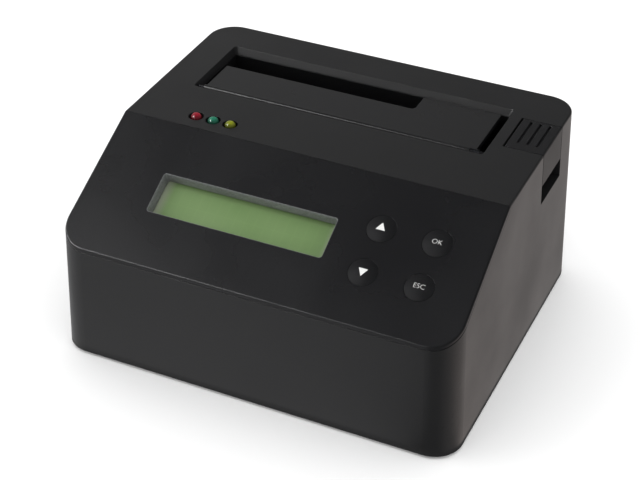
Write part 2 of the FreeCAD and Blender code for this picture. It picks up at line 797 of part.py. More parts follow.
    # rear openings for the sockets and the power switch
    openings = sketch(body, "XZ_Plane", z="2 * wall_thickness - rear_face")
    plate(openings, "usb_x", "board_top + usb_height / 2", "usb_width + 2 * socket_gap",
          "usb_height + 2 * socket_gap")
    circle(openings, "jack_x", "board_top + jack_height / 2", "jack_collar_radius + socket_gap")
    plate(openings, "rocker_x", "rocker_z", "rocker_body_width + 2 * socket_gap",
          "rocker_body_height + 2 * socket_gap")
    pocket(body, openings, "far")
    recess = sketch(body, "XZ_Plane", z="-rocker_seat")
    plate(recess, "rocker_x", "rocker_z", "rocker_bezel_width + 2 * socket_gap",
          "rocker_bezel_height + 2 * socket_gap")
    pocket(body, recess, "far")
    return sub_part(body)


def make_control_panel():
    body = new_body("control_panel")
    outer_form(body)
    around = sketch(body, "YZ_Plane")
    rectangle(around, "-far", "far", "-far", "far")
    polygon(around, [on_slope("-crease_gap", "0"), on_slope("-crease_gap", "panel_thickness"),
                     on_slope("crease_y - base_depth / 2", "panel_thickness"),
                     on_slope("crease_y - base_depth / 2", "0")])
    sheet_form = pocket(body, around, "2 * far", middle=True)

    def rim_at(depth):
        def wanted(edge):
            places = [slope_place(p) for p in ends_and_middle(edge)]
            return all(near(d, depth) for _, d in places) and not near(places[1][0], -value("crease_gap"))
        return wanted

    rounding = dress(body, "Fillet", sheet_form, rim_at(0), Radius="panel_edge_radius")
    dress(body, "Chamfer", rounding, rim_at(value("panel_thickness")), Size="panel_seam")

    def face(depth):
        """A sketch in the panel's frame at some depth under its face."""
        drawing = sketch(body, y=on_slope("0", depth)[0], z=on_slope("0", depth)[1])
        drawing.AttachmentOffset.Rotation = FreeCAD.Rotation(FreeCAD.Vector(1, 0, 0), 1)
        bind(drawing, AttachmentOffset__Rotation__Angle="slope_angle")
        return drawing

    # wall around the display window, under the panel
    skirt = rounded(face("panel_thickness"), "window_x", "-control_mid", "window_width + 2 * window_wall",
                    "window_height + 2 * window_wall", "window_radius + window_wall")
    pad(body, skirt, "window_skirt", reverse=True)
    window = rounded(face("0"), "window_x", "-control_mid", "window_width", "window_height", "window_radius")
    pocket(body, window, "window_floor")
    keys = face("0")
    for side_x in SIDES:
        for side_u in SIDES:
            circle(keys, f"key_x + {side_x} * key_pitch_across / 2",
                   f"-key_mid + {side_u} * key_pitch_along / 2", "key_diameter / 2")
    pocket(body, keys, "panel_thickness")

    # posts for the display board and the key board
    for places, board in ((display_holes(), "display_board_top"), (key_holes(), "key_board_top")):
        posts = face("panel_thickness")
        bores = face(board)
        for x, u in places:
            circle(posts, x, u, "post_radius")
            circle(bores, x, u, "screw_radius + screw_bore_gap")
        pad(body, posts, f"{board} - panel_thickness", reverse=True)
        pocket(body, bores, f"{board} - panel_thickness", reverse=True)

    # ribs that locate the panel inside the side walls
    ribs = face("panel_thickness")
    for side_x in SIDES:
        reach = (f"{side_x} * (side_inner - panel_rib_gap - panel_rib_thickness)",
                 f"{side_x} * (side_inner - panel_rib_gap)")
        rectangle(ribs, *sorted(reach, key=value), "-control_mid - window_height",
                  "-control_mid + window_height")
    pad(body, ribs, "panel_rib_height", reverse=True)
    return sub_part(body)


def display_holes():
    half_x = "(display_board_width / 2 - display_hole_inset)"
    half_u = "(display_board_height / 2 - display_hole_inset)"
    return [(f"window_x + {sx} * {half_x}",
             f"-control_mid + {su} * {half_u}") for sx in SIDES for su in SIDES]


def key_holes():
    return [("key_x", f"-key_mid + {side} * key_post_pitch / 2") for side in SIDES]


def make_base_plate():
    body = new_body("base_plate")
    outline = rounded(sketch(body, z="foot_proud"), "0", "0", "base_width - 2 * (wall_thickness + base_gap)",
                      "base_depth - 2 * (wall_thickness + base_gap)", "inner_radius - base_gap")
    pad(body, outline, "base_thickness")
    posts = sketch(body, z="base_top")
    bores = sketch(body, z="board_bottom")
    for x, y in board_holes():
        circle(posts, x, y, "standoff_radius")
        circle(bores, x, y, "screw_radius + screw_bore_gap")
    pad(body, posts, "standoff_height")
    pocket(body, bores, "board_screw_length + pilot_spare / 2 - board_thickness")
    holes = sketch(body, z="foot_proud")
    sinks = sketch(body, z="foot_proud")
    recesses = sketch(body, z="foot_proud")
    for side_x in SIDES:
        for side_y in SIDES:
            middle = (f"{side_x} * boss_x", f"{side_y} * boss_y")
            circle(holes, *middle, "screw_radius + screw_hole_gap")
            circle(sinks, *middle, "screw_head_radius + screw_hole_gap")
            circle(recesses, f"{side_x} * foot_x", f"{side_y} * foot_y", "foot_radius + fixed_fit")
    pocket(body, holes, "base_thickness", reverse=True)
    pocket(body, sinks, "screw_head_height", reverse=True)
    pocket(body, recesses, "foot_sunk", reverse=True)
    vents = sketch(body, z="foot_proud")
    for side_x in SIDES:
        plate(vents, f"{side_x} * vent_x", "vent_y", "vent_length", "vent_width")
    vent = pocket(body, vents, "base_thickness", reverse=True)
    pattern = body.newObject("PartDesign::LinearPattern", "vent_rows")
    pattern.Originals = [vent]
    pattern.Direction = (vents, ["V_Axis"])
    pattern.Mode = "Spacing"
    bind(pattern, Offset="vent_pitch", Occurrences="vent_rows")
    body.Tip = pattern
    return sub_part(body)


def make_feet():
    feet = []
    for side_x in SIDES:
        for side_y in SIDES:
            foot = doc.addObject("Part::Cone", "foot")
            bind(foot, Radius1="foot_radius - foot_taper", Radius2="foot_radius",
                 Height="foot_proud + foot_sunk")
            feet.append(put(foot, f"{side_x} * foot_x", f"{side_y} * foot_y"))
    group("rubber_feet", feet)


def make_base_screws():
    screws = []
    for side_x in SIDES:
        for side_y in SIDES:
            screws.append(put(screw("screw_length + base_thickness - screw_head_height"),
                              f"{side_x} * boss_x", f"{side_y} * boss_y",
                              "foot_proud + screw_head_height"))
    group("base_screws", screws)


# Drive bay, flap and eject mechanism.

def make_drive_bay():
    body = new_body("drive_bay")
    outside = rectangle(sketch(body, z="bay_bottom"), "slot_left - bay_wall", "slot_right + bay_wall",
                        "bay_front - bay_wall", "slot_rear + bay_wall")
    pad(body, outside, "deck_under - bay_bottom")
    inside = rectangle(sketch(body, z="deck_under"), "slot_left", "slot_right", "bay_front", "slot_rear")
    pocket(body, inside, "deck_under - bay_floor")

    # guide ribs on both end walls and two seats for the drive's lower edge
    ribs = sketch(body, z="bay_floor")
    for rib_y in ("bay_front + bay_rib_inset", "slot_rear - bay_rib_inset - bay_rib_width"):
        rectangle(ribs, "slot_left", "slot_left + bay_rib_thickness", rib_y, f"{rib_y} + bay_rib_width")
        rectangle(ribs, "slot_right - bay_rib_thickness", "slot_right", rib_y, f"{rib_y} + bay_rib_width")
    pad(body, ribs, "bay_rib_height")
    seats = sketch(body, z="bay_floor")
    for side_x in SIDES:
        middle = f"slot_x + {side_x} * drive_seat_pitch / 2"
        rectangle(seats, f"{middle} - drive_seat_width / 2", f"{middle} + drive_seat_width / 2", "bay_front",
                  "sata_y - sata_width")
    pad(body, seats, "drive_seat_height")
    socket = plate(sketch(body, z="bay_floor"), "sata_x", "sata_y", "sata_length + 2 * sata_gap",
                   "sata_width + 2 * sata_gap")
    pocket(body, socket, "bay_floor_thickness")

    # ears that hang the bay from the deck
    ears = sketch(body, z="bay_ear_top")
    bores = sketch(body, z="bay_ear_top")
    for side_x in SIDES:
        middle = f"slot_x + {side_x} * bay_ear_pitch / 2"
        left, right = f"{middle} - bay_ear_radius", f"{middle} + bay_ear_radius"
        rectangle(ears, left, right, "ear_front - bay_ear_radius", "bay_front - bay_wall / 2")
        rectangle(ears, left, right, "slot_rear + bay_wall / 2", "ear_rear + bay_ear_radius")
        for ear in ("ear_front", "ear_rear"):
            circle(bores, middle, ear, "screw_radius + screw_hole_gap")
    pad(body, ears, "bay_ear_thickness", reverse=True)
    pocket(body, bores, "bay_ear_thickness")

    # the lever's slot through the right wall, and the two ears that hold its pin
    slot = rectangle(sketch(body, "YZ_Plane", z="slot_right"), "button_y - lever_width / 2 - lever_side_gap",
                     "button_y + lever_width / 2 + lever_side_gap", "bay_floor",
                     "bay_floor + lever_slot_height")
    pocket(body, slot, "bay_wall", reverse=True)
    ear_plan = sketch(body, z="lever_z")
    for side_y in SIDES:
        edge = f"button_y + {side_y} * (lever_width / 2 + lever_side_gap)"
        outer = f"button_y + {side_y} * ear_span / 2"
        rectangle(ear_plan, "slot_right + bay_wall / 2", "lever_x + lever_hub_radius",
                  *sorted((edge, outer), key=value))
    pad(body, ear_plan, "2 * lever_hub_radius", middle=True)
    bore = circle(sketch(body, "XZ_Plane", z="-button_y"), "lever_x", "lever_z",
                  "lever_pin_radius + fixed_fit")
    pocket(body, bore, "ear_span", middle=True)
    return sub_part(body)


def make_bay_screws():
    screws = []
    for side_x in SIDES:
        for ear in ("ear_front", "ear_rear"):
            screws.append(put(screw("bay_screw_length"), f"slot_x + {side_x} * bay_ear_pitch / 2", ear,
                              "bay_ear_top - bay_ear_thickness"))
    group("bay_screws", screws)


def make_slot_flap():
    body = new_body("slot_flap")
    front = "hinge_y + barrel_radius + hinge_gap"
    barrel_end = "flap_right - barrel_short"
    outline = sketch(body, z="flap_under")
    corners = [("flap_left", "hinge_y"), (barrel_end, "hinge_y"), (barrel_end, front), ("flap_right", front),
               ("flap_right", "flap_rear"), ("small_end", "flap_rear"), ("small_end", "small_front"),
               ("flap_left", "small_front")]
    polygon(outline, corners)
    sheet_form = pad(body, outline, "flap_thickness")
    inner_x, inner_y = value("small_end"), value("small_front")

    def inner_corner(edge):
        return all(near(p.x, inner_x) and near(p.y, inner_y) for p in ends_and_middle(edge))

    dress(body, "Fillet", sheet_form, inner_corner, Radius="small_slot_radius")
    relief = rectangle(sketch(body, "YZ_Plane"), "slot_front", "hinge_y + flap_relief_run",
                       "flap_under", "flap_under + flap_relief_depth")
    pocket(body, relief, "2 * far", middle=True)
    barrel = circle(sketch(body, "YZ_Plane", z="flap_left"), "hinge_y", "hinge_z", "barrel_radius")
    pad(body, barrel, f"{barrel_end} - flap_left")
    ribs = sketch(body, z="flap_under")
    rib_pitch = "(flap_right - flap_left - 2 * flap_rib_inset) / (flap_rib_count - 1)"
    for step in range(round(value("flap_rib_count"))):
        middle = f"flap_left + flap_rib_inset + {step} * {rib_pitch}"
        rectangle(ribs, f"{middle} - flap_rib_width / 2", f"{middle} + flap_rib_width / 2",
                  "hinge_y + 2 * flap_relief_run", "small_front - flap_relief_run")
    pad(body, ribs, "flap_rib_height", reverse=True)
    bore = circle(sketch(body, "YZ_Plane"), "hinge_y", "hinge_z", "hinge_pin_radius + running_fit")
    pocket(body, bore, "2 * far", middle=True)
    return sub_part(body)


def make_flap_hinge():
    rod = doc.addObject("Part::Cylinder", "flap_pin")
    bind(rod, Radius="hinge_pin_radius", Height="slot_length + 2 * (hinge_pin_seat - pin_end_gap)")
    put(rod, "slot_left - hinge_pin_seat + pin_end_gap", "hinge_y", "hinge_z", axis=(0, 1, 0), angle="90")
    sub_part(rod)
    spring = coil("flap_spring", "hinge_pin_radius + spring_slack + spring_wire / 2", "spring_wire",
                  "spring_pitch", "spring_turns")
    sub_part(put(spring, "(flap_right - barrel_short + slot_right - spring_pitch * spring_turns) / 2",
                 "hinge_y", "hinge_z", axis=(0, 1, 0), angle="90"))


def make_eject_button():
    body = new_body("eject_button")
    outer_form(body)
    around = sketch(body, z="foot_proud")
    rectangle(around, "-far", "far", "-far", "far")
    rectangle(around, "button_left", "base_width", "button_front", "button_rear")
    pocket(body, around, "far", reverse=True)
    below = rectangle(sketch(body, z="skirt_bottom"), "-far", "far", "-far", "far")
    block = pocket(body, below, "far")
    deck_top = value("deck_top")
    outer_x = value("deck_width / 2")

    def outer_rim(edge):
        return all(near(p.z, deck_top) and near(p.x, outer_x) for p in ends_and_middle(edge))

    dress(body, "Fillet", block, outer_rim, Radius="deck_edge_radius")
    inside = rectangle(sketch(body, z="skirt_bottom"), "button_left + button_wall",
                       "deck_width / 2 - button_wall", "button_front + button_wall",
                       "button_rear - button_wall")
    pocket(body, inside, "button_under - skirt_bottom", reverse=True)
    rod = sketch(body, "XZ_Plane", x="rod_x", z="-button_y")
    turned(rod, [("0", "button_under + button_top_thickness / 2"),
                 ("rod_radius", "button_under + button_top_thickness / 2"),
                 ("rod_radius", "rod_bottom + rod_radius")], "rod_bottom")
    revolve(body, rod)
    grooves = sketch(body, z="deck_top")
    for step in (-1, 0, 1):
        plate(grooves, f"groove_x + {step} * groove_pitch", "button_y + groove_shift", "groove_width",
              "groove_length")
    pocket(body, grooves, "groove_depth")
    return sub_part(body)


def make_eject_lever():
    body = new_body("eject_lever")
    arm = rectangle(sketch(body, "XZ_Plane"), "-lever_reach", "lever_arm + lever_overhang", "-lever_half",
                    "lever_half")
    pad(body, arm, "lever_width", middle=True)
    nose = circle(sketch(body, "XZ_Plane"), "-lever_reach", "0", "lever_half")
    pad(body, nose, "lever_width", middle=True)
    hub = circle(sketch(body, "XZ_Plane"), "0", "0", "lever_hub_radius")
    pad(body, hub, "lever_width", middle=True)
    bore = circle(sketch(body, "XZ_Plane"), "0", "0", "lever_pin_radius + running_fit")
    pocket(body, bore, "lever_width", middle=True)
    put(body, "lever_x", "button_y", "lever_z", axis=(0, 1, 0), angle="-lever_tilt")
    sub_part(body)
    rod = doc.addObject("Part::Cylinder", "eject_pin")
    bind(rod, Radius="lever_pin_radius", Height="ear_span")
    sub_part(put(rod, "lever_x", "button_y + ear_span / 2", "lever_z", angle="90"))


def make_eject_spring():
    room = "(button_under - well_floor - 2 * coil_end_gap - coil_wire)"
    spring = coil("eject_spring", "coil_radius", "coil_wire", f"{room} / coil_turns", "coil_turns")
    sub_part(put(spring, "rod_x", "button_y", "well_floor + coil_end_gap + coil_wire / 2"))


# Main board and rear sockets.

def board_holes():
    return [(x, y) for x in ("board_left + board_hole_inset", "board_right - board_hole_inset")
            for y in ("board_front + board_hole_inset", "board_rear - board_hole_inset")]


def make_main_board():
    body = new_body("main_board")
    outline = rectangle(sketch(body, z="board_bottom"), "board_left", "board_right", "board_front",
                        "board_rear")
    for x, y in board_holes():
        circle(outline, x, y, "screw_radius + screw_hole_gap")
    pad(body, outline, "board_thickness")
    sub_part(body)
    group("board_screws",
          [put(screw("board_screw_length"), x, y, "board_top", angle="180") for x, y in board_holes()])
    chips = []
    for step in (-1.5, -0.5, 0.5):
        chip = new_body("chip")
        pad(chip,
            plate(sketch(chip, z="board_top"), f"{step} * chip_pitch", "chip_y", "chip_side", "chip_side"),
            "chip_height")
        chips.append(chip)
    group("board_chips", chips)
    cans = []
    for step in (0, 1, 2):
        can = doc.addObject("Part::Cylinder", "can")
        bind(can, Radius="capacitor_radius", Height="capacitor_height")
        cans.append(put(can, f"capacitor_x + {step} * capacitor_pitch", "chip_y", "board_top"))
    group("board_capacitors", cans)


def make_sata_connector():
    body = new_body("sata_connector")
    foot = plate(sketch(body, z="board_top"), "sata_x", "sata_y", "sata_length + 2 * sata_flange",
                 "sata_width + 2 * sata_flange")
    pad(body, foot, "sata_flange_height")
    tower = plate(sketch(body, z="board_top"), "sata_x", "sata_y", "sata_length", "sata_width")
    pad(body, tower, "sata_height")
    # two L-shaped slots, the short one for signals and the long one for power
    left = "sata_x - sata_length / 2 + sata_end_wall"
    right = "sata_x + sata_length / 2 - sata_end_wall"
    back, front = "sata_y + sata_slot_width / 2", "sata_y - sata_slot_width / 2"
    slots = sketch(body, z="board_top + sata_height")
    for start, stop in ((left, f"{left} + sata_signal_length"), (f"{right} - sata_power_length", right)):
        polygon(slots, [(start, front), (stop, front), (stop, back), (f"{start} + sata_key", back),
                        (f"{start} + sata_key", f"{back} + sata_key / 2"), (start, f"{back} + sata_key / 2")])
    pocket(body, slots, "sata_slot_depth")
    sub_part(body)


def make_usb_port():
    body = new_body("usb_port")
    middle = "board_top + usb_height / 2"
    shell = plate(sketch(body, "XZ_Plane", z="-socket_face"), "usb_x", middle, "usb_width", "usb_height")
    pad(body, shell, "usb_depth")
    # the mouth is wide below and steps in by a bevel to its narrow upper half
    half = "usb_mouth_width / 2"
    floor, ceiling = "board_top + usb_sheet", "board_top + usb_height - usb_sheet"
    shoulder = "(board_top + usb_sheet + usb_mouth_low)"
    outline = [(half, floor), (half, shoulder),
               (f"{half} - usb_mouth_bevel", f"{shoulder} + usb_mouth_bevel"),
               (f"{half} - usb_mouth_bevel", ceiling)]
    right = [(f"usb_x + {across}", up) for across, up in outline]
    left = [(f"usb_x - ({across})", up) for across, up in reversed(outline)]
    mouth = polygon(sketch(body, "XZ_Plane", z="-socket_face"), right + left)
    pocket(body, mouth, "usb_depth - usb_sheet", reverse=True)
    low = "board_top + usb_sheet + usb_tongue_rise"
    tongue = rectangle(sketch(body, "XZ_Plane", z="-(socket_face - usb_tongue_sunk)"),
                       "usb_x - usb_tongue_width / 2",
                       "usb_x + usb_tongue_width / 2", low, f"{low} + usb_tongue_height")
    pad(body, tongue, "usb_depth - usb_tongue_sunk")
    sub_part(body)


def make_dc_jack():
    body = new_body("dc_jack")
    middle = "board_top + jack_height / 2"
    back = "(socket_face - jack_collar_length)"
    block = plate(sketch(body, "XZ_Plane", z=f"-{back}"), "jack_x", middle, "jack_width", "jack_height")
    pad(body, block, "jack_depth - jack_collar_length")
    collar = circle(sketch(body, "XZ_Plane", z="-socket_face"), "jack_x", middle, "jack_collar_radius")
    pad(body, collar, "jack_collar_length")
    bore = circle(sketch(body, "XZ_Plane", z="-socket_face"), "jack_x", middle, "jack_bore_radius")
    pocket(body, bore, "jack_bore_depth", reverse=True)
    contact = circle(sketch(body, "XZ_Plane", z="-(socket_face - jack_pin_sunk)"), "jack_x", middle,
                     "jack_pin_radius")
    pad(body, contact, "jack_bore_depth")
    sub_part(body)


def make_power_switch():
    body = new_body("power_switch_body")
    bezel = plate(sketch(body, "XZ_Plane", z="-rear_face"), "rocker_x", "rocker_z", "rocker_bezel_width",
                  "rocker_bezel_height")
    pad(body, bezel, "rocker_bezel_thickness")
    block = plate(sketch(body, "XZ_Plane", z="-rear_face"), "rocker_x", "rocker_z", "rocker_body_width",
                  "rocker_body_height")
    pad(body, block, "rocker_body_depth")
    well = plate(sketch(body, "XZ_Plane", z="-rear_face"), "rocker_x", "rocker_z", "rocker_well_width",
                 "rocker_well_height")
    pocket(body, well, "rocker_well_depth", reverse=True)
    bore_length = "rocker_height + 2 * rocker_trunnion_length + 2 * running_fit"
    bore = circle(sketch(body, z="rocker_z"), "rocker_x", "rocker_pivot",
                  "rocker_trunnion_radius + running_fit")
    pocket(body, bore, bore_length, middle=True)
    sub_part(body)

    rocker = new_body("power_rocker")
    half = "rocker_length / 2"
    outline = polygon(sketch(rocker),
                      [(f"-{half}", "-rocker_drop / 2"), ("0", "-rocker_drop"), (half, "-rocker_drop / 2"),
                                       (half, "rocker_rise"), ("0", "rocker_rise - rocker_dish"),
                                       (f"-{half}", "rocker_rise")])
    pad(rocker, outline, "rocker_height", middle=True)
    trunnion = circle(sketch(rocker), "0", "0", "rocker_trunnion_radius")
    pad(rocker, trunnion, "rocker_height + 2 * rocker_trunnion_length", middle=True)
    sub_part(put(rocker, "rocker_x", "rocker_pivot", "rocker_z", axis=(0, 0, 1), angle="-rocker_tilt"))


# Display, keys and lamps.

def make_display():
    bezel = new_body("lcd_bezel")
    frame = plate(sketch(bezel, z="-bezel_top"), "window_x", "-control_mid", "bezel_width", "bezel_height")
    pad(bezel, frame, "bezel_depth", reverse=True)
    inside = plate(sketch(bezel, z="-glass_top"), "window_x", "-control_mid", "bezel_width - 2 * bezel_sheet",
                   "bezel_height - 2 * bezel_sheet")
    pocket(bezel, inside, "bezel_depth")
    view = plate(sketch(bezel, z="-bezel_top"), "window_x", "-control_mid", "window_width + 2 * view_margin",
                 "window_height + 2 * view_margin")
    pocket(bezel, view, "bezel_sheet")
    sub_part(put_on_panel(bezel))
    for label, top, thickness in (("lcd_glass", "glass_top", "glass_thickness"),
                                  ("lcd_backlight", "backlight_top", "backlight_thickness")):
        layer = new_body(label)
        outline = plate(sketch(layer, z=f"-({top})"), "window_x", "-control_mid",
                        "bezel_width - 2 * bezel_sheet - 2 * bezel_gap",
                        "bezel_height - 2 * bezel_sheet - 2 * bezel_gap")
        pad(layer, outline, thickness, reverse=True)
        sub_part(put_on_panel(layer))
    board = new_body("lcd_board")
    outline = plate(sketch(board, z="-display_board_top"), "window_x", "-control_mid", "display_board_width",
                    "display_board_height")
    for x, u in display_holes():
        circle(outline, x, u, "screw_radius + screw_hole_gap")
    pad(board, outline, "board_thickness", reverse=True)
    sub_part(put_on_panel(board))
    panel_screws("lcd_screws", display_holes(), "display_board_top")


def panel_screws(label, places, board):
    screws = []
    for x, u in places:
        back = f"({board} + board_thickness)"
        item = screw("board_screw_length")
        screws.append(put(item, x, f"crease_y + ({u}) * cos(slope_angle) + {back} * sin(slope_angle)",
                          f"deck_top + ({u}) * sin(slope_angle) - {back} * cos(slope_angle)",
                          angle="slope_angle"))
    group(label, screws)


def make_keys():
    board = new_body("key_board")
    outline = plate(sketch(board, z="-key_board_top"), "key_x", "-key_mid", "key_board_width",
                    "key_board_height")
    for x, u in key_holes():
        circle(outline, x, u, "screw_radius + screw_hole_gap")
    pad(board, outline, "board_thickness", reverse=True)
    sub_part(put_on_panel(board))
    panel_screws("key_screws", key_holes(), "key_board_top")
    switches = []
    for name, side_x, side_u in (("up", -1, 1), ("down", -1, -1), ("ok", 1, 1), ("esc", 1, -1)):
        x = f"key_x + {side_x} * key_pitch_across / 2"
        u = f"-key_mid + {side_u} * key_pitch_along / 2"
        cap = new_body(f"button_{name}")
        profile = sketch(cap, "XZ_Plane")
        turned(profile, [
            ("0", "-key_stem_end"), ("key_stem_radius", "-key_stem_end"),
            ("key_stem_radius", "-key_flange_top - key_flange_thickness"),
            ("key_radius + key_flange", "-key_flange_top - key_flange_thickness"),
            ("key_radius + key_flange", "-key_flange_top"), ("key_radius", "-key_flange_top"),
            ("key_radius", "0")],
            "key_dome")
        revolve(cap, profile)
        sub_part(put_on_panel(cap, x, u))
        plunger = new_body(f"plunger_{name}")
        pad(plunger, circle(sketch(plunger, z="-key_stem_end"), "0", "0", "plunger_radius"),
            "plunger_length", reverse=True)
        sub_part(put_on_panel(plunger, x, u))
        switch = new_body("switch")
        pad(switch, plate(sketch(switch, z="-key_board_top"), "0", "0", "switch_side", "switch_side"),
            "switch_height")
        pocket(switch, circle(sketch(switch, z="-switch_top"), "0", "0", "plunger_radius + plunger_gap"),
               "switch_height - switch_floor")
        switches.append(put_on_panel(switch, x, u))
    group("tact_switches", switches)


def make_lamps():
    spacers = []
    for name, step in (("red", -1), ("green", 0), ("amber", 1)):
        x = f"lamp_x + {step} * lamp_pitch"
        lamp = new_body(f"led_{name}")
        drawing = sketch(lamp, "XZ_Plane")
        turned(drawing, [
            ("0", "0"), ("lamp_diameter / 2 + lamp_flange", "0"),
            ("lamp_diameter / 2 + lamp_flange", "lamp_flange_height"),
            ("lamp_diameter / 2", "lamp_flange_height"),
            ("lamp_diameter / 2", "lamp_length - lamp_diameter / 2")], "lamp_length")
        revolve(lamp, drawing)
        sub_part(put(lamp, x, "lamp_y", "lamp_foot"))
        spacer = doc.addObject("Part::Cylinder", "spacer")
        bind(spacer, Radius="lamp_spacer_radius", Height="lamp_spacer_height")
        spacers.append(put(spacer, x, "lamp_y", "lamp_board_top"))
    group("led_spacers", spacers)
    board = new_body("led_board")
    outline = plate(sketch(board, z="lamp_board_top"), "lamp_x", "lamp_y", "lamp_board_width",
                    "lamp_board_depth")
    places = [(f"lamp_x + {side} * lamp_post_pitch / 2", "lamp_y") for side in SIDES]
    for x, y in places:
        circle(outline, x, y, "screw_radius + screw_hole_gap")
    pad(board, outline, "board_thickness", reverse=True)
    sub_part(board)
    group("led_screws",
          [put(screw("board_screw_length"), x, y, "lamp_board_top - board_thickness") for x, y in places])


def make_ribbon():
    body = new_body("panel_ribbon")
    path = sketch(body, "YZ_Plane", z="window_x")
    upright = line(path, ("ribbon_turn_y", "header_top"), ("ribbon_turn_y", "ribbon_turn_z - ribbon_tangent"))
    bend = arc(path, "ribbon_turn_y - ribbon_bend_radius", "ribbon_turn_z - ribbon_tangent",
               "ribbon_bend_radius",
               0, value("slope_angle"))
    slant = line(path, ("ribbon_turn_y - ribbon_tangent * sin(slope_angle)",
                        "ribbon_turn_z + ribbon_tangent * cos(slope_angle)"),
                        ("ribbon_start_y", "ribbon_start_z"))
    pin(path, upright, 1, "ribbon_turn_y", "header_top")
    tangent(path, upright, 2, bend, 1)
    tangent(path, bend, 2, slant, 1)
    pin(path, slant, 2, "ribbon_start_y", "ribbon_start_z")
    section = plate(sketch(body, z="header_top"), "window_x", "ribbon_turn_y", "ribbon_width",
                    "ribbon_thickness")
    sweep = body.newObject("PartDesign::AdditivePipe", "lead")
    sweep.Profile = section
    sweep.Spine = (path, ["Edge1", "Edge2", "Edge3"])
    sub_part(body)
    low = new_body("header")
    pad(low, plate(sketch(low, z="board_top"), "window_x", "ribbon_turn_y", "header_width", "header_depth"),
        "header_height")
    high = new_body("header")
    pad(high,
        plate(sketch(high, z="-display_board_back"), "window_x", "ribbon_u", "header_width", "header_depth"),
        "header_height", reverse=True)
    group("ribbon_headers", [low, put_on_panel(high)])


def check():
    """Stop if an object failed or a piece is not a sound solid."""
    for item in doc.Objects:
        if "Invalid" in item.State or "Error" in item.State:
            raise RuntimeError(f"{item.Label} ({item.Name}): {item.State} {item.getStatusString()}")
    for item in sub_parts:
        if item.Shape.isNull() or not item.Shape.isValid() or not item.Shape.Solids:
            raise RuntimeError(f"{item.Label} has no sound solid")


def main():
    make_upper_shell()
    make_control_panel()
    make_base_plate()
    make_feet()
    make_base_screws()
    make_drive_bay()
    make_bay_screws()
    make_slot_flap()
    make_flap_hinge()
    make_eject_button()
    make_eject_lever()
    make_eject_spring()
    make_main_board()
    make_sata_connector()
    make_usb_port()
    make_dc_jack()
    make_power_switch()
    make_display()
    make_keys()
    make_lamps()
    make_ribbon()
    doc.recompute()
    check()
    os.makedirs("parts", exist_ok=True)
    for item in sub_parts:
        item.Shape.exportStep(f"parts/{item.Label}.step")


main()
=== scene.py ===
"""Hard drive eraser dock: finishes, printed marks, springs, fasteners and a plain studio.

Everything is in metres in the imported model's own frame: +X to the right, +Y to the rear, +Z up.
"""
import json
import math
from functools import partial

import bmesh
import bpy
from mathutils import Matrix, Vector


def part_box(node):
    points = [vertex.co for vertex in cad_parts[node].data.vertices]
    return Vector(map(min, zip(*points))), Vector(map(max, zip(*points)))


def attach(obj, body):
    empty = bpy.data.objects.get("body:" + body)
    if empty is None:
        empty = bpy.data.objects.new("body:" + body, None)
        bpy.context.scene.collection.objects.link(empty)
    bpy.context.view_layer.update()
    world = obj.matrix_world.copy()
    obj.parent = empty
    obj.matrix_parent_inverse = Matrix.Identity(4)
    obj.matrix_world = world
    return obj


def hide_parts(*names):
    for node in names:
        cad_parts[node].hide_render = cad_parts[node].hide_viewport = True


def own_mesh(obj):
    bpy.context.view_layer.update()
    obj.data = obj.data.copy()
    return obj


bl_info = {
    "name": "Eraser Dock Dressing",
    "version": (1, 0, 0),
    "blender": (4, 5, 0),
    "location": "View3D > Sidebar > Dock",
    "description": "Finishes and fine pieces for a hard drive eraser dock",
    "category": "Object",
}

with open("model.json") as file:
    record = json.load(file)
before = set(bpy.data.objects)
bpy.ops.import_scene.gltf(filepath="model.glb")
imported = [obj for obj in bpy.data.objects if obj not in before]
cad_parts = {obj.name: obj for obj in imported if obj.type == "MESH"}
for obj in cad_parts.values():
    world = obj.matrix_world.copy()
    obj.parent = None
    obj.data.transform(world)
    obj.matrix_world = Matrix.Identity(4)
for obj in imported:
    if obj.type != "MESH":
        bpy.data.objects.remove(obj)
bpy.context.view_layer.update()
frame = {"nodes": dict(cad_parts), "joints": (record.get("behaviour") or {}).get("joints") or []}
MM = 0.001
WELD = 0.002 * MM
KEYS = ("up", "down", "ok", "esc")


def joint(name):
    """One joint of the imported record."""
    return next(item for item in frame["joints"] if item["name"] == name)


# The keys travel along the panel's normal, so their joint gives the slope.
PANEL_NORMAL = -Vector(joint("ok_press")["axis"]).normalized()
SLOPE = math.atan2(-PANEL_NORMAL.y, PANEL_NORMAL.z)
PANEL = Matrix.Rotation(SLOPE, 4, "X")
LEVEL = Matrix.Identity(4)
UPSIDE_DOWN = Matrix.Rotation(math.pi, 4, "X")


def linear(hex_colour):
    """An sRGB hex value as linear red, green and blue."""
    channels = [int(hex_colour[i:i + 2], 16) / 255 for i in (1, 3, 5)]
    return tuple(c / 12.92 if c <= 0.04045 else ((c + 0.055) / 1.055) ** 2.4 for c in channels)


def length(label, millimetres, about):
    """A size that a user may change."""
    return bpy.props.FloatProperty(name=label, description=about, default=millimetres * MM, min=0.0,
                                   precision=5, unit="LENGTH", subtype="DISTANCE")


def colour(label, hex_colour, about):
    """A colour that a user may change."""
    return bpy.props.FloatVectorProperty(name=label, description=about, default=linear(hex_colour), size=3,
                                         min=0.0, max=1.0, subtype="COLOR")


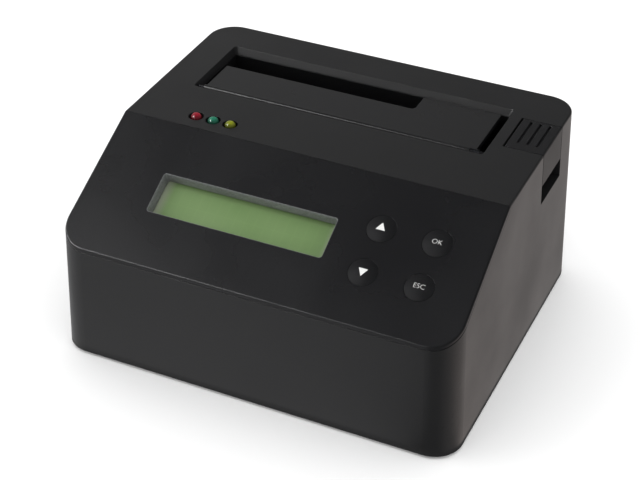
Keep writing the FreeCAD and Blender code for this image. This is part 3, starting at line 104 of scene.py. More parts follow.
class DockSizes(bpy.types.PropertyGroup):
    """Sizes of the pieces that this file adds to the model."""
    ink_film: length("Ink film", 0.03, "Thickness of the printed marks")
    arrow_radius: length("Arrow radius", 1.85, "From an arrow's middle to its points")
    word_height: length("Word height", 2.45, "Type size of the words on the keys")
    rocker_mark: length("Rocker mark", 3.0, "Type size of the marks on the power rocker")
    window_width: length("Window width", 64.0, "Display window from left to right")
    window_height: length("Window height", 15.4, "Display window along the slope")
    window_corner: length("Window corner", 1.2, "Corner radius of the display window")
    liner_wall: length("Liner wall", 0.22, "Thickness of the sleeve that lines the window")
    liner_gap: length("Liner gap", 0.15, "From the sleeve to the display's frame below it")
    coil_radius: length("Coil radius", 3.1, "Eject spring, middle of the wire")
    coil_wire: length("Coil wire", 0.6, "Eject spring, wire diameter")
    torsion_radius: length("Torsion radius", 0.875, "Flap spring, middle of the wire")
    torsion_wire: length("Torsion wire", 0.35, "Flap spring, wire diameter")
    torsion_leg: length("Torsion leg", 4.0, "Flap spring, leg along the slot's right wall")
    torsion_tip: length("Torsion tip", 0.9, "Flap spring, short leg at the flap")
    head_radius: length("Screw head", 2.6, "Radius of a screw's head")
    head_height: length("Head height", 1.2, "Height of a screw's head")
    thread_radius: length("Thread radius", 1.25, "Outer radius of a screw's thread")
    thread_pitch: length("Thread pitch", 0.8, "Rise of a screw's thread in one turn")
    foot_radius: length("Foot radius", 6.0, "Rubber foot at its seat")
    contact_pitch: length("Contact pitch", 1.27, "From one drive contact to the next")
    contact_width: length("Contact width", 0.7, "Width of a drive contact")


class DockColours(bpy.types.PropertyGroup):
    """Colours of the finishes."""
    shell: colour("Shell", "#121213", "Grained black plastic of the housing")
    shell_worn: colour("Shell edge", "#222223", "Housing plastic where edges are rubbed")
    panel: colour("Panel", "#0b0b0d", "Smooth black plastic of the faceplate")
    panel_worn: colour("Panel edge", "#1e1e21", "Faceplate plastic where edges are rubbed")
    # painted shade: the bay is darker than the shell to stand for the shade inside the slot
    bay: colour("Bay", "#060607", "Plastic of the drive bay")
    ink: colour("Ink", "#d8d8d6", "White printed marks")
    display: colour("Display", "#68854f", "Unlit background of the display")
    display_cell: colour("Display cell", "#66834e", "Faint character cells of the display")
    # painted reflection: the pale colour laid over the display's left and right ends
    display_rim: colour("Display rim", "#9aa08e", "Pale border where the polariser ends")
    liner: colour("Liner", "#4a4b4c", "Sleeve that lines the display window")
    red_lamp: colour("Red lamp", "#a01a2e", "Left lamp")
    green_lamp: colour("Green lamp", "#2c866a", "Middle lamp")
    amber_lamp: colour("Amber lamp", "#8c941c", "Right lamp")
    solder_mask: colour("Solder mask", "#0d4a26", "Lacquer of the circuit boards")


# Small helpers for modelling.

def inside_box(node, turn):
    """Lowest and highest corner of a CAD node, measured along the axes of a turned frame."""
    back = turn.inverted()
    places = [back @ vertex.co for vertex in frame["nodes"][node].data.vertices]
    low = Vector([min(p[i] for p in places) for i in range(3)])
    high = Vector([max(p[i] for p in places) for i in range(3)])
    return low, high


def deselect():
    """Leave no piece selected."""
    bpy.ops.object.select_all(action="DESELECT")


def take(piece):
    """Make one piece the only selected and the active one."""
    deselect()
    piece.select_set(True)
    bpy.context.view_layer.objects.active = piece


def start_edit(piece, mode):
    """Go into edit mode on one piece with nothing selected; mode is VERT, EDGE or FACE."""
    take(piece)
    bpy.ops.object.mode_set(mode="EDIT")
    bpy.ops.mesh.select_mode(type=mode)
    bpy.ops.mesh.select_all(action="DESELECT")


def pick_all():
    """Select the whole mesh in edit mode."""
    bpy.ops.mesh.select_all(action="SELECT")


def pick(piece, wanted, kind="faces"):
    """Select what passes a test of its middle and its normal, or of an edge's middle and run."""
    shape = bmesh.from_edit_mesh(piece.data)
    for item in getattr(shape, kind):
        if kind == "faces":
            chosen = wanted(item.calc_center_median(), item.normal)
        elif kind == "edges":
            start, end = (vertex.co for vertex in item.verts)
            chosen = wanted((start + end) / 2, start - end)
        else:
            chosen = wanted(item.co, item.normal)
        item.select_set(chosen)
    bmesh.update_edit_mesh(piece.data)


def end_edit(tidy=False):
    """Leave edit mode; a turned or joined mesh has its doubles merged and its faces turned outwards."""
    if tidy:
        pick_all()
        bpy.ops.mesh.remove_doubles(threshold=WELD)
        bpy.ops.mesh.normals_make_consistent(inside=False)
    bpy.ops.object.mode_set(mode="OBJECT")


def extrude(x, y, z):
    """Extrude what is selected in edit mode by a step."""
    bpy.ops.mesh.extrude_region_move(TRANSFORM_OT_translate={"value": (x, y, z)})


def modify(piece, kind, **settings):
    """Add a modifier with its settings and apply it."""
    take(piece)
    modifier = piece.modifiers.new(kind.title(), kind)
    for name, setting in settings.items():
        setattr(modifier, name, setting)
    bpy.ops.object.modifier_apply(modifier=modifier.name)


def close_ends(piece):
    """Fill the open ends of a tube."""
    start_edit(piece, "EDGE")
    bpy.ops.mesh.select_non_manifold()
    bpy.ops.mesh.edge_face_add()
    end_edit(tidy=True)


def place(piece, matrix=None):
    """Put a piece in its place, or leave it where it is, and keep that place in its mesh."""
    piece.matrix_world = matrix or piece.matrix_basis.copy()
    take(piece)
    bpy.ops.object.transform_apply(location=True, rotation=True, scale=True)
    return piece


def block(sides, middle=(0.0, 0.0, 0.0), turn=LEVEL):
    """A block with its sides and its middle, which is then shaped further."""
    deselect()
    bpy.ops.mesh.primitive_cube_add(size=1.0)
    return place(bpy.context.object, turn @ Matrix.Translation(middle) @ Matrix.Diagonal((*sides, 1.0)))


def lettering(text, size, cuts, thinner=0.0, smoothness=12):
    """Plain capitals as a flat mesh, cut into small faces so that they can follow a curved key."""
    deselect()
    bpy.ops.object.text_add()
    letters = bpy.context.object.data
    letters.body = text
    letters.size = size
    letters.offset = -thinner
    letters.align_x = "CENTER"
    letters.align_y = "CENTER"
    letters.resolution_u = smoothness
    bpy.ops.object.convert(target="MESH")
    mark = bpy.context.object
    start_edit(mark, "FACE")
    pick_all()
    bpy.ops.mesh.remove_doubles(threshold=WELD)
    bpy.ops.mesh.quads_convert_to_tris()
    bpy.ops.mesh.subdivide(number_cuts=cuts)
    end_edit()
    return mark


def print_on(mark, node, film):
    """Press a flat mark onto a node along its own Z axis and give it the thickness of an ink film."""
    modify(mark, "SHRINKWRAP", target=frame["nodes"][node], wrap_method="PROJECT", use_project_z=True,
           use_negative_direction=True, use_positive_direction=False, offset=film / 2)
    modify(mark, "SOLIDIFY", thickness=film, offset=0.0)


def join(pieces):
    """Several like pieces as one."""
    deselect()
    for piece in pieces:
        piece.select_set(True)
    bpy.context.view_layer.objects.active = pieces[0]
    bpy.ops.object.join()
    return pieces[0]


def repeat(piece, places):
    """Joined copies of a modelled piece, each with its own mesh, in place of the first one."""
    copies = []
    for matrix in places:
        twin = piece.copy()
        twin.data = piece.data.copy()
        bpy.context.scene.collection.objects.link(twin)
        copies.append(place(twin, matrix))
    bpy.data.objects.remove(piece)
    return join(copies)


def settle(piece, name, body, material, replaces=(), angle=35):
    """Finish a piece: name, smooth faces, material, the body it rides on and the node it stands for."""
    piece.name = name
    piece.data.name = name
    take(piece)
    bpy.ops.object.transform_apply(location=True, rotation=True, scale=True)
    bpy.ops.object.shade_smooth_by_angle(angle=math.radians(angle))
    piece.data.materials.clear()
    piece.data.materials.append(material)
    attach(piece, body)
    if replaces:
        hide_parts(*replaces)


def paint(material, *nodes):
    """Give CAD nodes a finish."""
    for name in nodes:
        node_object = frame["nodes"][name]
        if not node_object.material_slots:
            node_object.data.materials.append(material)
        for holder in node_object.material_slots:
            holder.material = material


# Materials.

# Moulded finishes: colour, colour where rubbed, roughness, grain, depth of the grain, rubbed edge and IOR.
# A colour is a hex value or a dock colour's name, and lengths are in millimetres.
PLASTICS = {
    # satin black that greys where it mirrors the room
    "abs_grained_black": ("shell", "shell_worn", 0.4, 0.45, 0.02, 0.2, 1.45),
    # duller and deeper than the deck round the button
    "abs_button_black": ("panel", "panel_worn", 0.5, 0.4, 0.02, 0.3, 1.42),
    # polished by the drives that push the flap down
    "abs_flap_black": ("shell", "shell_worn", 0.25, 0.5, 0.01, 0.3, 1.45),
    # nearly smooth, with sharp bright edges
    "abs_smooth_black": ("panel", "panel_worn", 0.28, 0.6, 0.006, 0.1, 1.45),
    # matt, so that the domes of the keys shine only faintly
    "abs_key_black": ("panel", "panel_worn", 0.65, 0.35, 0.012, 0.1, 1.28),
    # darker than the housing's plastic: painted shade that makes the slot look black
    "abs_bay_black": ("bay", "shell", 0.42, 0.6, 0.02, 0.3, 1.45),
    # a lighter band behind the window's dark edge
    "abs_window_grey": ("liner", "#a8aaaa", 0.35, 0.5, 0.006, 0.12, 1.5),
    # milky and slick
    "acetal_natural": ("#d9d6cc", "#e8e6de", 0.38, 0.8, 0.006, 0.3, 1.48),
    "acetal_plunger_white": ("#cfcdc4", "#e0ded6", 0.4, 0.5, 0.006, 0.3, 1.5),
    # baked paint with an even dark gloss
    "steel_painted_black": ("#121213", "#3a3a3b", 0.35, 0.8, 0.004, 0.3, 1.5),
    # pale yellow-green and glassy
    "acrylic_light_guide": ("#a9c46a", "#c9dc9c", 0.3, 1.5, 0.002, 0.3, 1.5),
    # chalky white, a little waxy
    "nylon_white": ("#c9c8c2", "#dddcd6", 0.5, 0.6, 0.01, 0.3, 1.5),
    "nylon_tongue_white": ("#b9b8b2", "#d0cfc9", 0.45, 0.5, 0.006, 0.3, 1.5),
    # a wet gloss on the switch, duller on the jack and the key switches
    "nylon_gloss_black": ("#0c0c0d", "#2c2c2e", 0.22, 0.6, 0.004, 0.3, 1.5),
    "nylon_jack_black": ("#0b0b0c", "#2a2a2c", 0.38, 0.5, 0.01, 0.3, 1.5),
    "nylon_switch_black": ("#131314", "#2c2c2e", 0.45, 0.4, 0.01, 0.3, 1.5),
    # dull black with lighter edges
    "polymer_connector_black": ("#0d0d0e", "#2a2a2b", 0.4, 0.4, 0.01, 0.3, 1.5),
    # charcoal and sandy
    "epoxy_chip_black": ("#111112", "#2d2d2e", 0.5, 0.25, 0.01, 0.3, 1.5),
}

# Worked metals: colour, roughness, spacing of the lines in millimetres, and how they are drawn out.
METALS = {
    # dark, so that pin and spring hardly show beside the flap
    "steel_pin_blackened": ("#2b2b2d", 0.45, 0.3, (0.05, 1.0, 1.0)),
    "music_wire_blackened": ("#3a3b3e", 0.4, 0.2, (0.4, 1.0, 1.0)),
    # bright, with fine lines
    "steel_pivot_ground": ("#b9babd", 0.22, 0.3, (1.0, 0.05, 1.0)),
    "spring_steel_drawn": ("#9a9ca0", 0.28, 0.2, (1.0, 1.0, 0.4)),
    # pale grey zinc with a soft gloss
    "steel_zinc_plated": ("#a9abae", 0.3, 0.4, (1.0, 1.0, 0.3)),
    # warm silver, nearly a mirror
    "steel_nickel_plated": ("#b4b2ac", 0.2, 0.5, (1.0, 0.2, 1.0)),
    # warm yellow with a clear gloss
    "contact_gold_plated": ("#d7b25e", 0.25, 0.3, (1.0, 1.0, 0.2)),
    # silver with upright lines
    "aluminium_can_drawn": ("#c9cbd0", 0.3, 0.4, (1.0, 1.0, 0.1)),
}


def fill(node, sockets):
    """Set a node's sockets: to a value, an output of another node, or a node for its output in use."""
    for name, given in sockets.items():
        if isinstance(given, bpy.types.Node):
            given = next(output for output in given.outputs if output.enabled)
        if isinstance(given, bpy.types.NodeSocket):
            node.id_data.links.new(given, node.inputs[name])
        else:
            node.inputs[name].default_value = given


def add_node(tree, kind, sockets=None, **settings):
    """Add a shader node with its settings, values and links."""
    made = tree.nodes.new(f"ShaderNode{kind}")
    for name, setting in settings.items():
        setattr(made, name, setting)
    fill(made, sockets or {})
    return made


def rgba(tint):
    """A shader colour from a hex value, a dock colour's name or three linear numbers."""
    if isinstance(tint, str):
        tint = linear(tint) if tint[0] == "#" else getattr(bpy.context.scene.dock_colours, tint)
    return (*tint, 1.0)


def start_material(name, sockets):
    """A new material, its surface shader, the function that adds its nodes, and its object coordinates."""
    material = bpy.data.materials.new(name)
    material.use_nodes = True
    shader = material.node_tree.nodes["Principled BSDF"]
    fill(shader, sockets)
    add = partial(add_node, material.node_tree)
    return material, shader, add, add("TexCoord").outputs["Object"]


def moulded_plastic(name):
    """Injection-moulded plastic.

    The tool's eroded grain breaks up reflections, handling leaves slow changes of gloss, and edges are
    rubbed a little lighter and smoother.
    """
    main, worn, roughness, grain, depth, edge, ior = PLASTICS[name]
    hand_print = 38 * MM
    gloss_change = 0.06
    material, shader, add, spot = start_material(name, {"IOR": ior})
    grit = add("TexNoise", {"Vector": spot, "Scale": 1 / (grain * MM), "Detail": 3.0})
    handling = add("TexNoise", {"Vector": spot, "Scale": 1 / hand_print, "Detail": 4.0})
    soft = add("Bevel", {"Radius": edge * MM}, samples=6)
    true_normal = add("NewGeometry").outputs["Normal"]
    facing = add("VectorMath", {0: soft, 1: true_normal}, operation="DOT_PRODUCT")
    rubbed = add("MapRange", {"Value": facing, "From Min": 0.985, "From Max": 0.8, "To Max": 0.55})
    speckle = add("MapRange", {"Value": grit, "From Min": 0.3, "From Max": 0.75, "To Max": 0.35})
    lightened = add("Math", {0: rubbed, 1: speckle}, operation="ADD", use_clamp=True)
    tint = add("Mix", {0: lightened, 6: rgba(main), 7: rgba(worn)}, data_type="RGBA")
    gloss = add("MapRange", {"Value": handling, "From Min": 0.3, "From Max": 0.7,
                             "To Min": roughness - gloss_change, "To Max": roughness + gloss_change})
    bump = add("Bump", {"Strength": 0.5, "Distance": depth * MM, "Height": grit, "Normal": soft})
    fill(shader, {"Base Color": tint, "Roughness": gloss, "Normal": bump})
    return material


def drawn_metal(name):
    """Drawn, turned or plated metal: fine lines along the way it was worked, and small changes of gloss."""
    tint, roughness, lines, stretch = METALS[name]
    material, shader, add, spot = start_material(name, {"Metallic": 1.0, "Base Color": rgba(tint)})
    along = add("Mapping", {"Vector": spot, "Scale": stretch})
    streaks = add("TexNoise", {"Vector": along, "Scale": 1 / (lines * MM), "Detail": 2.0})
    gloss = add("MapRange", {"Value": streaks, "From Min": 0.25, "From Max": 0.75,
                             "To Min": roughness * 0.7, "To Max": roughness * 1.4})
    bump = add("Bump", {"Strength": 0.15, "Distance": 0.01 * MM, "Height": streaks})
    fill(shader, {"Roughness": gloss, "Normal": bump})
    return material


def printed_ink(name):
    """Pad-printed ink: a flat white film, a little thinner in specks."""
    speck = 0.25 * MM
    material, shader, add, spot = start_material(name, {"IOR": 1.48, "Roughness": 0.5})
    specks = add("TexNoise", {"Vector": spot, "Scale": 1 / speck, "Detail": 2.0})
    thin = add("MapRange", {"Value": specks, "From Min": 0.55, "From Max": 0.8, "To Max": 0.25})
    tint = add("Mix", {0: thin, 6: rgba("ink"), 7: rgba("#9a9a98")}, data_type="RGBA")
    fill(shader, {"Base Color": tint})
    return material


def solder_masked_board(name, mask):
    """Glass-epoxy board: green lacquer over copper runs, which show lighter, and tinned through-holes."""
    hole_spacing = 6 * MM
    material, shader, add, spot = start_material(name, {"IOR": 1.52, "Coat Weight": 0.3,
                                                        "Coat Roughness": 0.15})
    # the runs' length, spacing and width are in millimetres
    runs = add("TexBrick", {"Vector": spot, "Scale": 1 / MM, "Brick Width": 9.0, "Row Height": 1.27,
                            "Mortar Size": 0.14, "Mortar Smooth": 0.2, "Color1": rgba(mask),
                            "Color2": rgba([c * 0.8 for c in mask]),
                            "Mortar": rgba("#2c7a45")}, offset=0.37)
    holes = add("TexVoronoi", {"Vector": spot, "Scale": 1 / hole_spacing, "Randomness": 0.8})
    ring = add("Math", {0: holes, 1: 0.085}, operation="LESS_THAN")
    tint = add("Mix", {0: ring, 6: runs, 7: rgba("#b9b6a8")}, data_type="RGBA")
    gloss = add("MapRange", {"Value": ring, "To Min": 0.42, "To Max": 0.25})
    bump = add("Bump", {"Strength": 0.3, "Distance": 0.04 * MM, "Height": runs.outputs["Fac"]})
    fill(shader, {"Base Color": tint, "Metallic": ring, "Roughness": gloss, "Normal": bump})
    return material


def moulded_rubber(name):
    """Soft black rubber: dull, with a fine dusty grain."""
    grain = 0.5 * MM
    material, shader, add, spot = start_material(name, {"IOR": 1.5, "Roughness": 0.8})
    dust = add("TexNoise", {"Vector": spot, "Scale": 1 / grain, "Detail": 4.0})
    tint = add("Mix", {0: dust, 6: rgba("#141414"), 7: rgba("#2a2926")}, data_type="RGBA")
    bump = add("Bump", {"Strength": 0.4, "Distance": 0.03 * MM, "Height": dust})
    fill(shader, {"Base Color": tint, "Normal": bump})
    return material


def display_film(name, middle, across, along):
    """Reflective liquid crystal behind a polariser.

    It is yellow-green with character cells that barely show, with a painted pale reflection at its left and
    right ends and painted shade along its upper and lower edge.
    """
    cloud_size = 22 * MM
    material, shader, add, spot = start_material(name, {"IOR": 1.5, "Roughness": 0.32})
    flat = add("Mapping", {"Vector": spot, "Location": middle, "Rotation": (SLOPE, 0.0, 0.0)},
               vector_type="TEXTURE")
    # a cell's width, height and border are in millimetres
    cells = add("TexBrick", {"Vector": flat, "Scale": 1 / MM, "Brick Width": 3.55,
                             "Row Height": 6.1, "Mortar Size": 0.3, "Mortar Smooth": 0.3,
                             "Color1": rgba("display_cell"), "Color2": rgba("display_cell"),
                             "Mortar": rgba("display")}, offset=0.0)
    cloud = add("TexNoise", {"Vector": spot, "Scale": 1 / cloud_size, "Detail": 2.0})
    pale = add("MapRange", {"Value": cloud, "From Min": 0.35, "From Max": 0.7, "To Max": 0.12})
    inner = add("Mix", {0: pale, 6: cells, 7: rgba("#9fb186")}, data_type="RGBA")
    away = add("VectorMath", {0: flat}, operation="ABSOLUTE")
    sides = add("SeparateXYZ", {"Vector": away})
    # painted shade: darker along the upper and lower edge, where the window's walls shade the film
    edges = add("MapRange", {"Value": sides.outputs["Y"], "From Min": along / 2 - 2.2 * MM,
                             "From Max": along / 2 - 0.3 * MM, "To Max": 0.4})
    shaded = add("Mix", {0: edges, 6: inner, 7: rgba("#46523b")}, data_type="RGBA")
    # painted reflection: paler towards the left and right ends, standing for light off the window's walls
    ends = add("MapRange", {"Value": sides.outputs["X"], "From Min": across / 2 - 3.6 * MM,
                            "From Max": across / 2 - 0.6 * MM, "To Max": 0.8})
    whole = add("Mix", {0: ends, 6: shaded, 7: rgba("display_rim")}, data_type="RGBA")
    fill(shader, {"Base Color": whole})
    return material


def lamp_epoxy(name, main, lamp):
    """Tinted epoxy of a lamp: glossy, with milky swirls over the cup in its middle and painted shade
    darkening it towards its rim.
    """
    swirl_size = 1.2 * MM
    cup_radius, rim_radius = 0.9 * MM, 1.9 * MM
    low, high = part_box(lamp)
    middle = (low + high) / 2
    material, shader, add, spot = start_material(name, {"IOR": 1.54, "Roughness": 0.14,
                                                        "Transmission Weight": 0.12})
    swirl = add("TexNoise", {"Vector": spot, "Scale": 1 / swirl_size, "Detail": 1.0})
    deep = [c * 0.5 for c in main]
    cup = add("Mix", {0: swirl, 6: rgba(deep), 7: rgba(main)}, data_type="RGBA")
    flat = add("VectorMath", {0: spot, 1: (1.0, 1.0, 0.0)}, operation="MULTIPLY")
    away = add("VectorMath", {0: flat, 1: (middle.x, middle.y, 0.0)}, operation="DISTANCE")
    # painted shade: the epoxy darkens from the cup's edge out to the rim and stays lighter in the middle
    rim = add("MapRange", {"Value": away, "From Min": cup_radius, "From Max": rim_radius, "To Max": 0.85})
    dark = [c * 0.1 for c in main]
    tint = add("Mix", {0: rim, 6: cup, 7: rgba(dark)}, data_type="RGBA")
    fill(shader, {"Base Color": tint})
    return material


def flat_ribbon(name):
    """Grey vinyl ribbon cable: one rounded ridge for each conductor, and a red first edge."""
    conductor_pitch = 1.27 * MM
    red_width = 1.1 * MM
    material, shader, add, spot = start_material(name, {"IOR": 1.53, "Roughness": 0.45})
    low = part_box("panel_ribbon")[0]
    across = add("SeparateXYZ", {"Vector": spot}).outputs["X"]
    edge = add("Math", {0: across, 1: low.x + red_width}, operation="LESS_THAN")
    wave = add("Math", {0: across, 1: 2 * math.pi / conductor_pitch}, operation="MULTIPLY")
    ridge = add("Math", {0: wave}, operation="SINE")
    tint = add("Mix", {0: edge, 6: rgba("#8c8d90"), 7: rgba("#9c2f2c")}, data_type="RGBA")
    bump = add("Bump", {"Strength": 0.8, "Distance": 0.3 * MM, "Height": ridge})
    fill(shader, {"Base Color": tint, "Normal": bump})
    return material


def studio_paper(name):
    """White studio paper, open from below and to what stands just over it, so that the underside is lit.

    Gloss mirrors bounce cards in its place, by the angle round the dock's front right corner: grey ones in
    front, a dark gap at the corner and warm white ones on the right.
    """
    corner_place = (58 * MM, -50 * MM, 0.0)
    card_strength = 1.08
    open_height = 4.5 * MM
    # a quarter turn is 0.25: 0 on the left, 0.25 in front, 0.5 on the right, 0.75 behind
    ends = "#d2d2d3"
    ring = ((0.09, "#cccccd"), (0.16, "#bfbfc0"), (0.22, "#a8a8a9"), (0.27, "#686869"), (0.37, "#686869"),
            (0.42, "#a4a09f"), (0.47, "#b0aaa7"), (0.5, "#e0d5d0"), (0.62, "#d8cfcb"))
    material, shader, add, spot = start_material(name, {"Roughness": 0.9, "Base Color": rgba("#f9f9f9"),
                                                        "Specular IOR Level": 0.0})
    ray = add("LightPath")
    corner = add("VectorMath", {0: spot, 1: corner_place}, operation="SUBTRACT")
    sides = add("SeparateXYZ", {"Vector": corner})
    angle = add("Math", {0: sides.outputs["Y"], 1: sides.outputs["X"]}, operation="ARCTAN2")
    turn = add("MapRange", {"Value": angle, "From Min": -math.pi, "From Max": math.pi})
    cards = add("ValToRGB", {"Fac": turn})
    stops = cards.color_ramp.elements
    for stop in stops:
        stop.color = rgba(ends)
    for part_of_turn, tint in ring:
        stops.new(part_of_turn).color = rgba(tint)
    lit = add("Emission", {"Color": cards, "Strength": card_strength})
    paper = add("MixShader", {0: ray.outputs["Is Glossy Ray"], 1: shader, 2: lit})
    material.cycles.emission_sampling = "NONE"
    clear = add("BsdfTransparent")
    close = add("Math", {0: ray.outputs["Ray Length"], 1: open_height}, operation="LESS_THAN")
    below = add("NewGeometry").outputs["Backfacing"]
    opened = add("Math", {0: below, 1: close}, operation="MAXIMUM")
    mix = add("MixShader", {0: opened, 1: paper, 2: clear})
    fill(material.node_tree.nodes["Material Output"], {"Surface": mix})
    return material


# Operators, one for each piece or group of like pieces.

class DOCK_OT_make_stage(bpy.types.Operator):
    """Floor, soft light and the camera at the photograph's angle"""
    bl_idname = "dock.make_stage"
    bl_label = "Stage"

    def execute(self, context):
        scene = context.scene
        scene.view_settings.view_transform = "Standard"
        deselect()
        bpy.ops.mesh.primitive_plane_add(size=8.0)
        floor = context.object
        floor.name = "studio_floor"
        floor.data.materials.append(studio_paper("studio_paper"))
        self.camera(scene)
        self.light(scene)
        return {"FINISHED"}

    def camera(self, scene):
        """Direction, distance and lens are worked out from the outline in the photograph."""
        azimuth, elevation, roll = (math.radians(degrees) for degrees in (24.33, 34.37, 0.44))
        target = Vector((0.0, -0.095, 35.25)) * MM
        distance = 573.36 * MM
        back = Vector((math.sin(azimuth) * math.cos(elevation), -math.cos(azimuth) * math.cos(elevation),
                       math.sin(elevation)))
        level = Vector((math.cos(azimuth), math.sin(azimuth), 0.0))
        across = level * math.cos(roll) + back.cross(level) * math.sin(roll)
        lens = bpy.data.cameras.new("camera")
        lens.sensor_width = 36.0
        lens.lens = 92.93
        lens.shift_x = -0.0066
        lens.shift_y = -0.0276
        lens.clip_start = 0.01
        camera = bpy.data.objects.new("camera", lens)
        scene.collection.objects.link(camera)
        turn = Matrix((across, back.cross(across), back)).transposed().to_4x4()
        camera.matrix_world = Matrix.Translation(target + back * distance) @ turn
        scene.camera = camera

    def light(self, scene):
        """An even white room for matt surfaces; gloss mirrors dark walls and a bright window."""
        room_strength = 1.3
        window_strength = 24.0
        sill_to_head = ((0.5, "#000000"), (0.58, "#ffffff"), (0.63, "#ffffff"), (0.7, "#000000"))
        world = bpy.data.worlds.new("studio")
        scene.world = world
        world.use_nodes = True
        add = partial(add_node, world.node_tree)
        way = add("SeparateXYZ", {"Vector": add("TexCoord").outputs["Generated"]})
        # walls: lighter on the left, darker towards the ceiling
        side = add("MapRange", {"Value": way.outputs["X"], "From Min": -0.6, "From Max": -0.1,
                                "To Min": 0.5, "To Max": 0.14})
        rise = add("MapRange", {"Value": way.outputs["Z"], "From Min": 0.5, "From Max": 0.95,
                                "To Min": 0.97, "To Max": 0.5})
        walls = add("Math", {0: side, 1: rise}, operation="MULTIPLY")
        # window: in front, on the left, and between its sill and its head
        ahead = add("MapRange", {"Value": way.outputs["Y"], "From Min": -0.05, "From Max": -0.3})
        left = add("MapRange", {"Value": way.outputs["X"], "From Min": -0.3, "From Max": -0.47,
                                "To Max": window_strength})
        front = add("Math", {0: ahead, 1: left}, operation="MULTIPLY")
        pane = add("ValToRGB", {"Fac": way.outputs["Z"]})
        stops = pane.color_ramp.elements
        for stop in stops:
            stop.color = rgba("#000000")
        for height, tint in sill_to_head:
            stops.new(height).color = rgba(tint)
        mirrored = add("Math", {0: front, 1: pane, 2: walls}, operation="MULTIPLY_ADD")
        glossy = add("LightPath").outputs["Is Glossy Ray"]
        shade = add("Mix", {0: glossy, 2: room_strength, 3: mirrored}, data_type="FLOAT")
        fill(world.node_tree.nodes["Background"], {"Color": rgba("#ffffff"), "Strength": shade})
        lamp = bpy.data.lights.new("soft_box", "AREA")
        lamp.size = 0.34
        lamp.energy = 0.9
        box = bpy.data.objects.new("soft_box", lamp)
        scene.collection.objects.link(box)
        box.location = (-0.58, -0.36, 0.94)
        box.rotation_euler = (-box.location).to_track_quat("-Z", "Y").to_euler()
        box.visible_camera = False


class DOCK_OT_finish_housing(bpy.types.Operator):
    """Moulded finishes of the housing, the faceplate, the flap, the bay and the eject mechanism"""
    bl_idname = "dock.finish_housing"
    bl_label = "Housing finishes"

    def execute(self, context):
        paint(moulded_plastic("abs_grained_black"), "upper_shell", "base_plate")
        paint(moulded_plastic("abs_button_black"), "eject_button")
        paint(moulded_plastic("abs_flap_black"), "slot_flap")
        paint(moulded_plastic("abs_smooth_black"), "control_panel")
        paint(moulded_plastic("abs_key_black"), *(f"button_{key}" for key in KEYS))
        paint(moulded_plastic("abs_bay_black"), "drive_bay")
        paint(moulded_plastic("acetal_natural"), "eject_lever")
        paint(drawn_metal("steel_pin_blackened"), "flap_pin")
        paint(drawn_metal("steel_pivot_ground"), "eject_pin")
        return {"FINISHED"}


class DOCK_OT_make_key_marks(bpy.types.Operator):
    """White arrows and words printed on the domes of the keys"""
    bl_idname = "dock.make_key_marks"
    bl_label = "Key marks"

    def execute(self, context):
        sizes = context.scene.dock_sizes
        ink = printed_ink("pad_printed_white")
        over_key = PANEL_NORMAL * 9 * MM
        marks = {"up": self.arrow(sizes.arrow_radius, 0.0), "down": self.arrow(sizes.arrow_radius, math.pi)}
        for key in ("ok", "esc"):
            marks[key] = lettering(key.upper(), sizes.word_height, cuts=2, thinner=0.05 * MM, smoothness=6)
        for key, mark in marks.items():
            low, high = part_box(f"plunger_{key}")
            mark.matrix_world = Matrix.Translation((low + high) / 2 + over_key) @ PANEL
            print_on(mark, f"button_{key}", sizes.ink_film)
            settle(mark, f"mark_{key}", f"key_{key}", ink)
        return {"FINISHED"}

    def arrow(self, radius, turn):
        """A flat triangle with slightly soft points."""
        deselect()
        bpy.ops.mesh.primitive_circle_add(vertices=3, radius=radius, fill_type="TRIFAN",
                                          rotation=(0.0, 0.0, turn))
        mark = bpy.context.object
        start_edit(mark, "VERT")
        pick(mark, lambda co, _: co.length > radius / 2, "verts")
        bpy.ops.mesh.bevel(offset=0.12 * MM, segments=2, affect="VERTICES")
        pick_all()
        bpy.ops.mesh.quads_convert_to_tris()
        bpy.ops.mesh.subdivide(number_cuts=5)
        end_edit()
        return place(mark)


class DOCK_OT_finish_display(bpy.types.Operator):
    """Display film, its frame and light guide, and the sleeve that lines the window"""
    bl_idname = "dock.finish_display"
    bl_label = "Display"

    def execute(self, context):
        sizes = context.scene.dock_sizes
        low, high = inside_box("lcd_glass", PANEL)
        middle = (low + high) / 2
        film = display_film("display_polariser", PANEL @ middle, sizes.window_width, sizes.window_height)
        paint(film, "lcd_glass")
        paint(moulded_plastic("steel_painted_black"), "lcd_bezel")
        paint(moulded_plastic("acrylic_light_guide"), "lcd_backlight")
        grey = moulded_plastic("abs_window_grey")
        sunk = 0.1 * MM
        top = inside_box("control_panel", PANEL)[1].z - sunk
        liner = self.sleeve(sizes, top - inside_box("lcd_bezel", PANEL)[1].z - sizes.liner_gap)
        place(liner, PANEL @ Matrix.Translation((middle.x, middle.y, top)))
        settle(liner, "window_liner", "housing", grey)
        return {"FINISHED"}

    def sleeve(self, sizes, depth):
        """A thin sleeve with rounded corners, its upper edge at the origin."""
        deselect()
        bpy.ops.mesh.primitive_plane_add(size=1.0)
        liner = bpy.context.object
        place(liner, Matrix.Diagonal((sizes.window_width, sizes.window_height, 1.0, 1.0)))
        start_edit(liner, "VERT")
        pick_all()
        bpy.ops.mesh.bevel(offset=sizes.window_corner, segments=6, affect="VERTICES")
        pick_all()
        extrude(0.0, 0.0, -depth)
        bpy.ops.mesh.select_mode(type="FACE")
        pick(liner, lambda co, normal: abs(normal.z) > 0.5)
        bpy.ops.mesh.delete(type="ONLY_FACE")
        pick_all()
        bpy.ops.mesh.normals_make_consistent(inside=False)
        end_edit()
        modify(liner, "SOLIDIFY", thickness=sizes.liner_wall, offset=-1.0, use_even_offset=True)
        modify(liner, "BEVEL", width=0.06 * MM, segments=2, limit_method="ANGLE")
        return liner


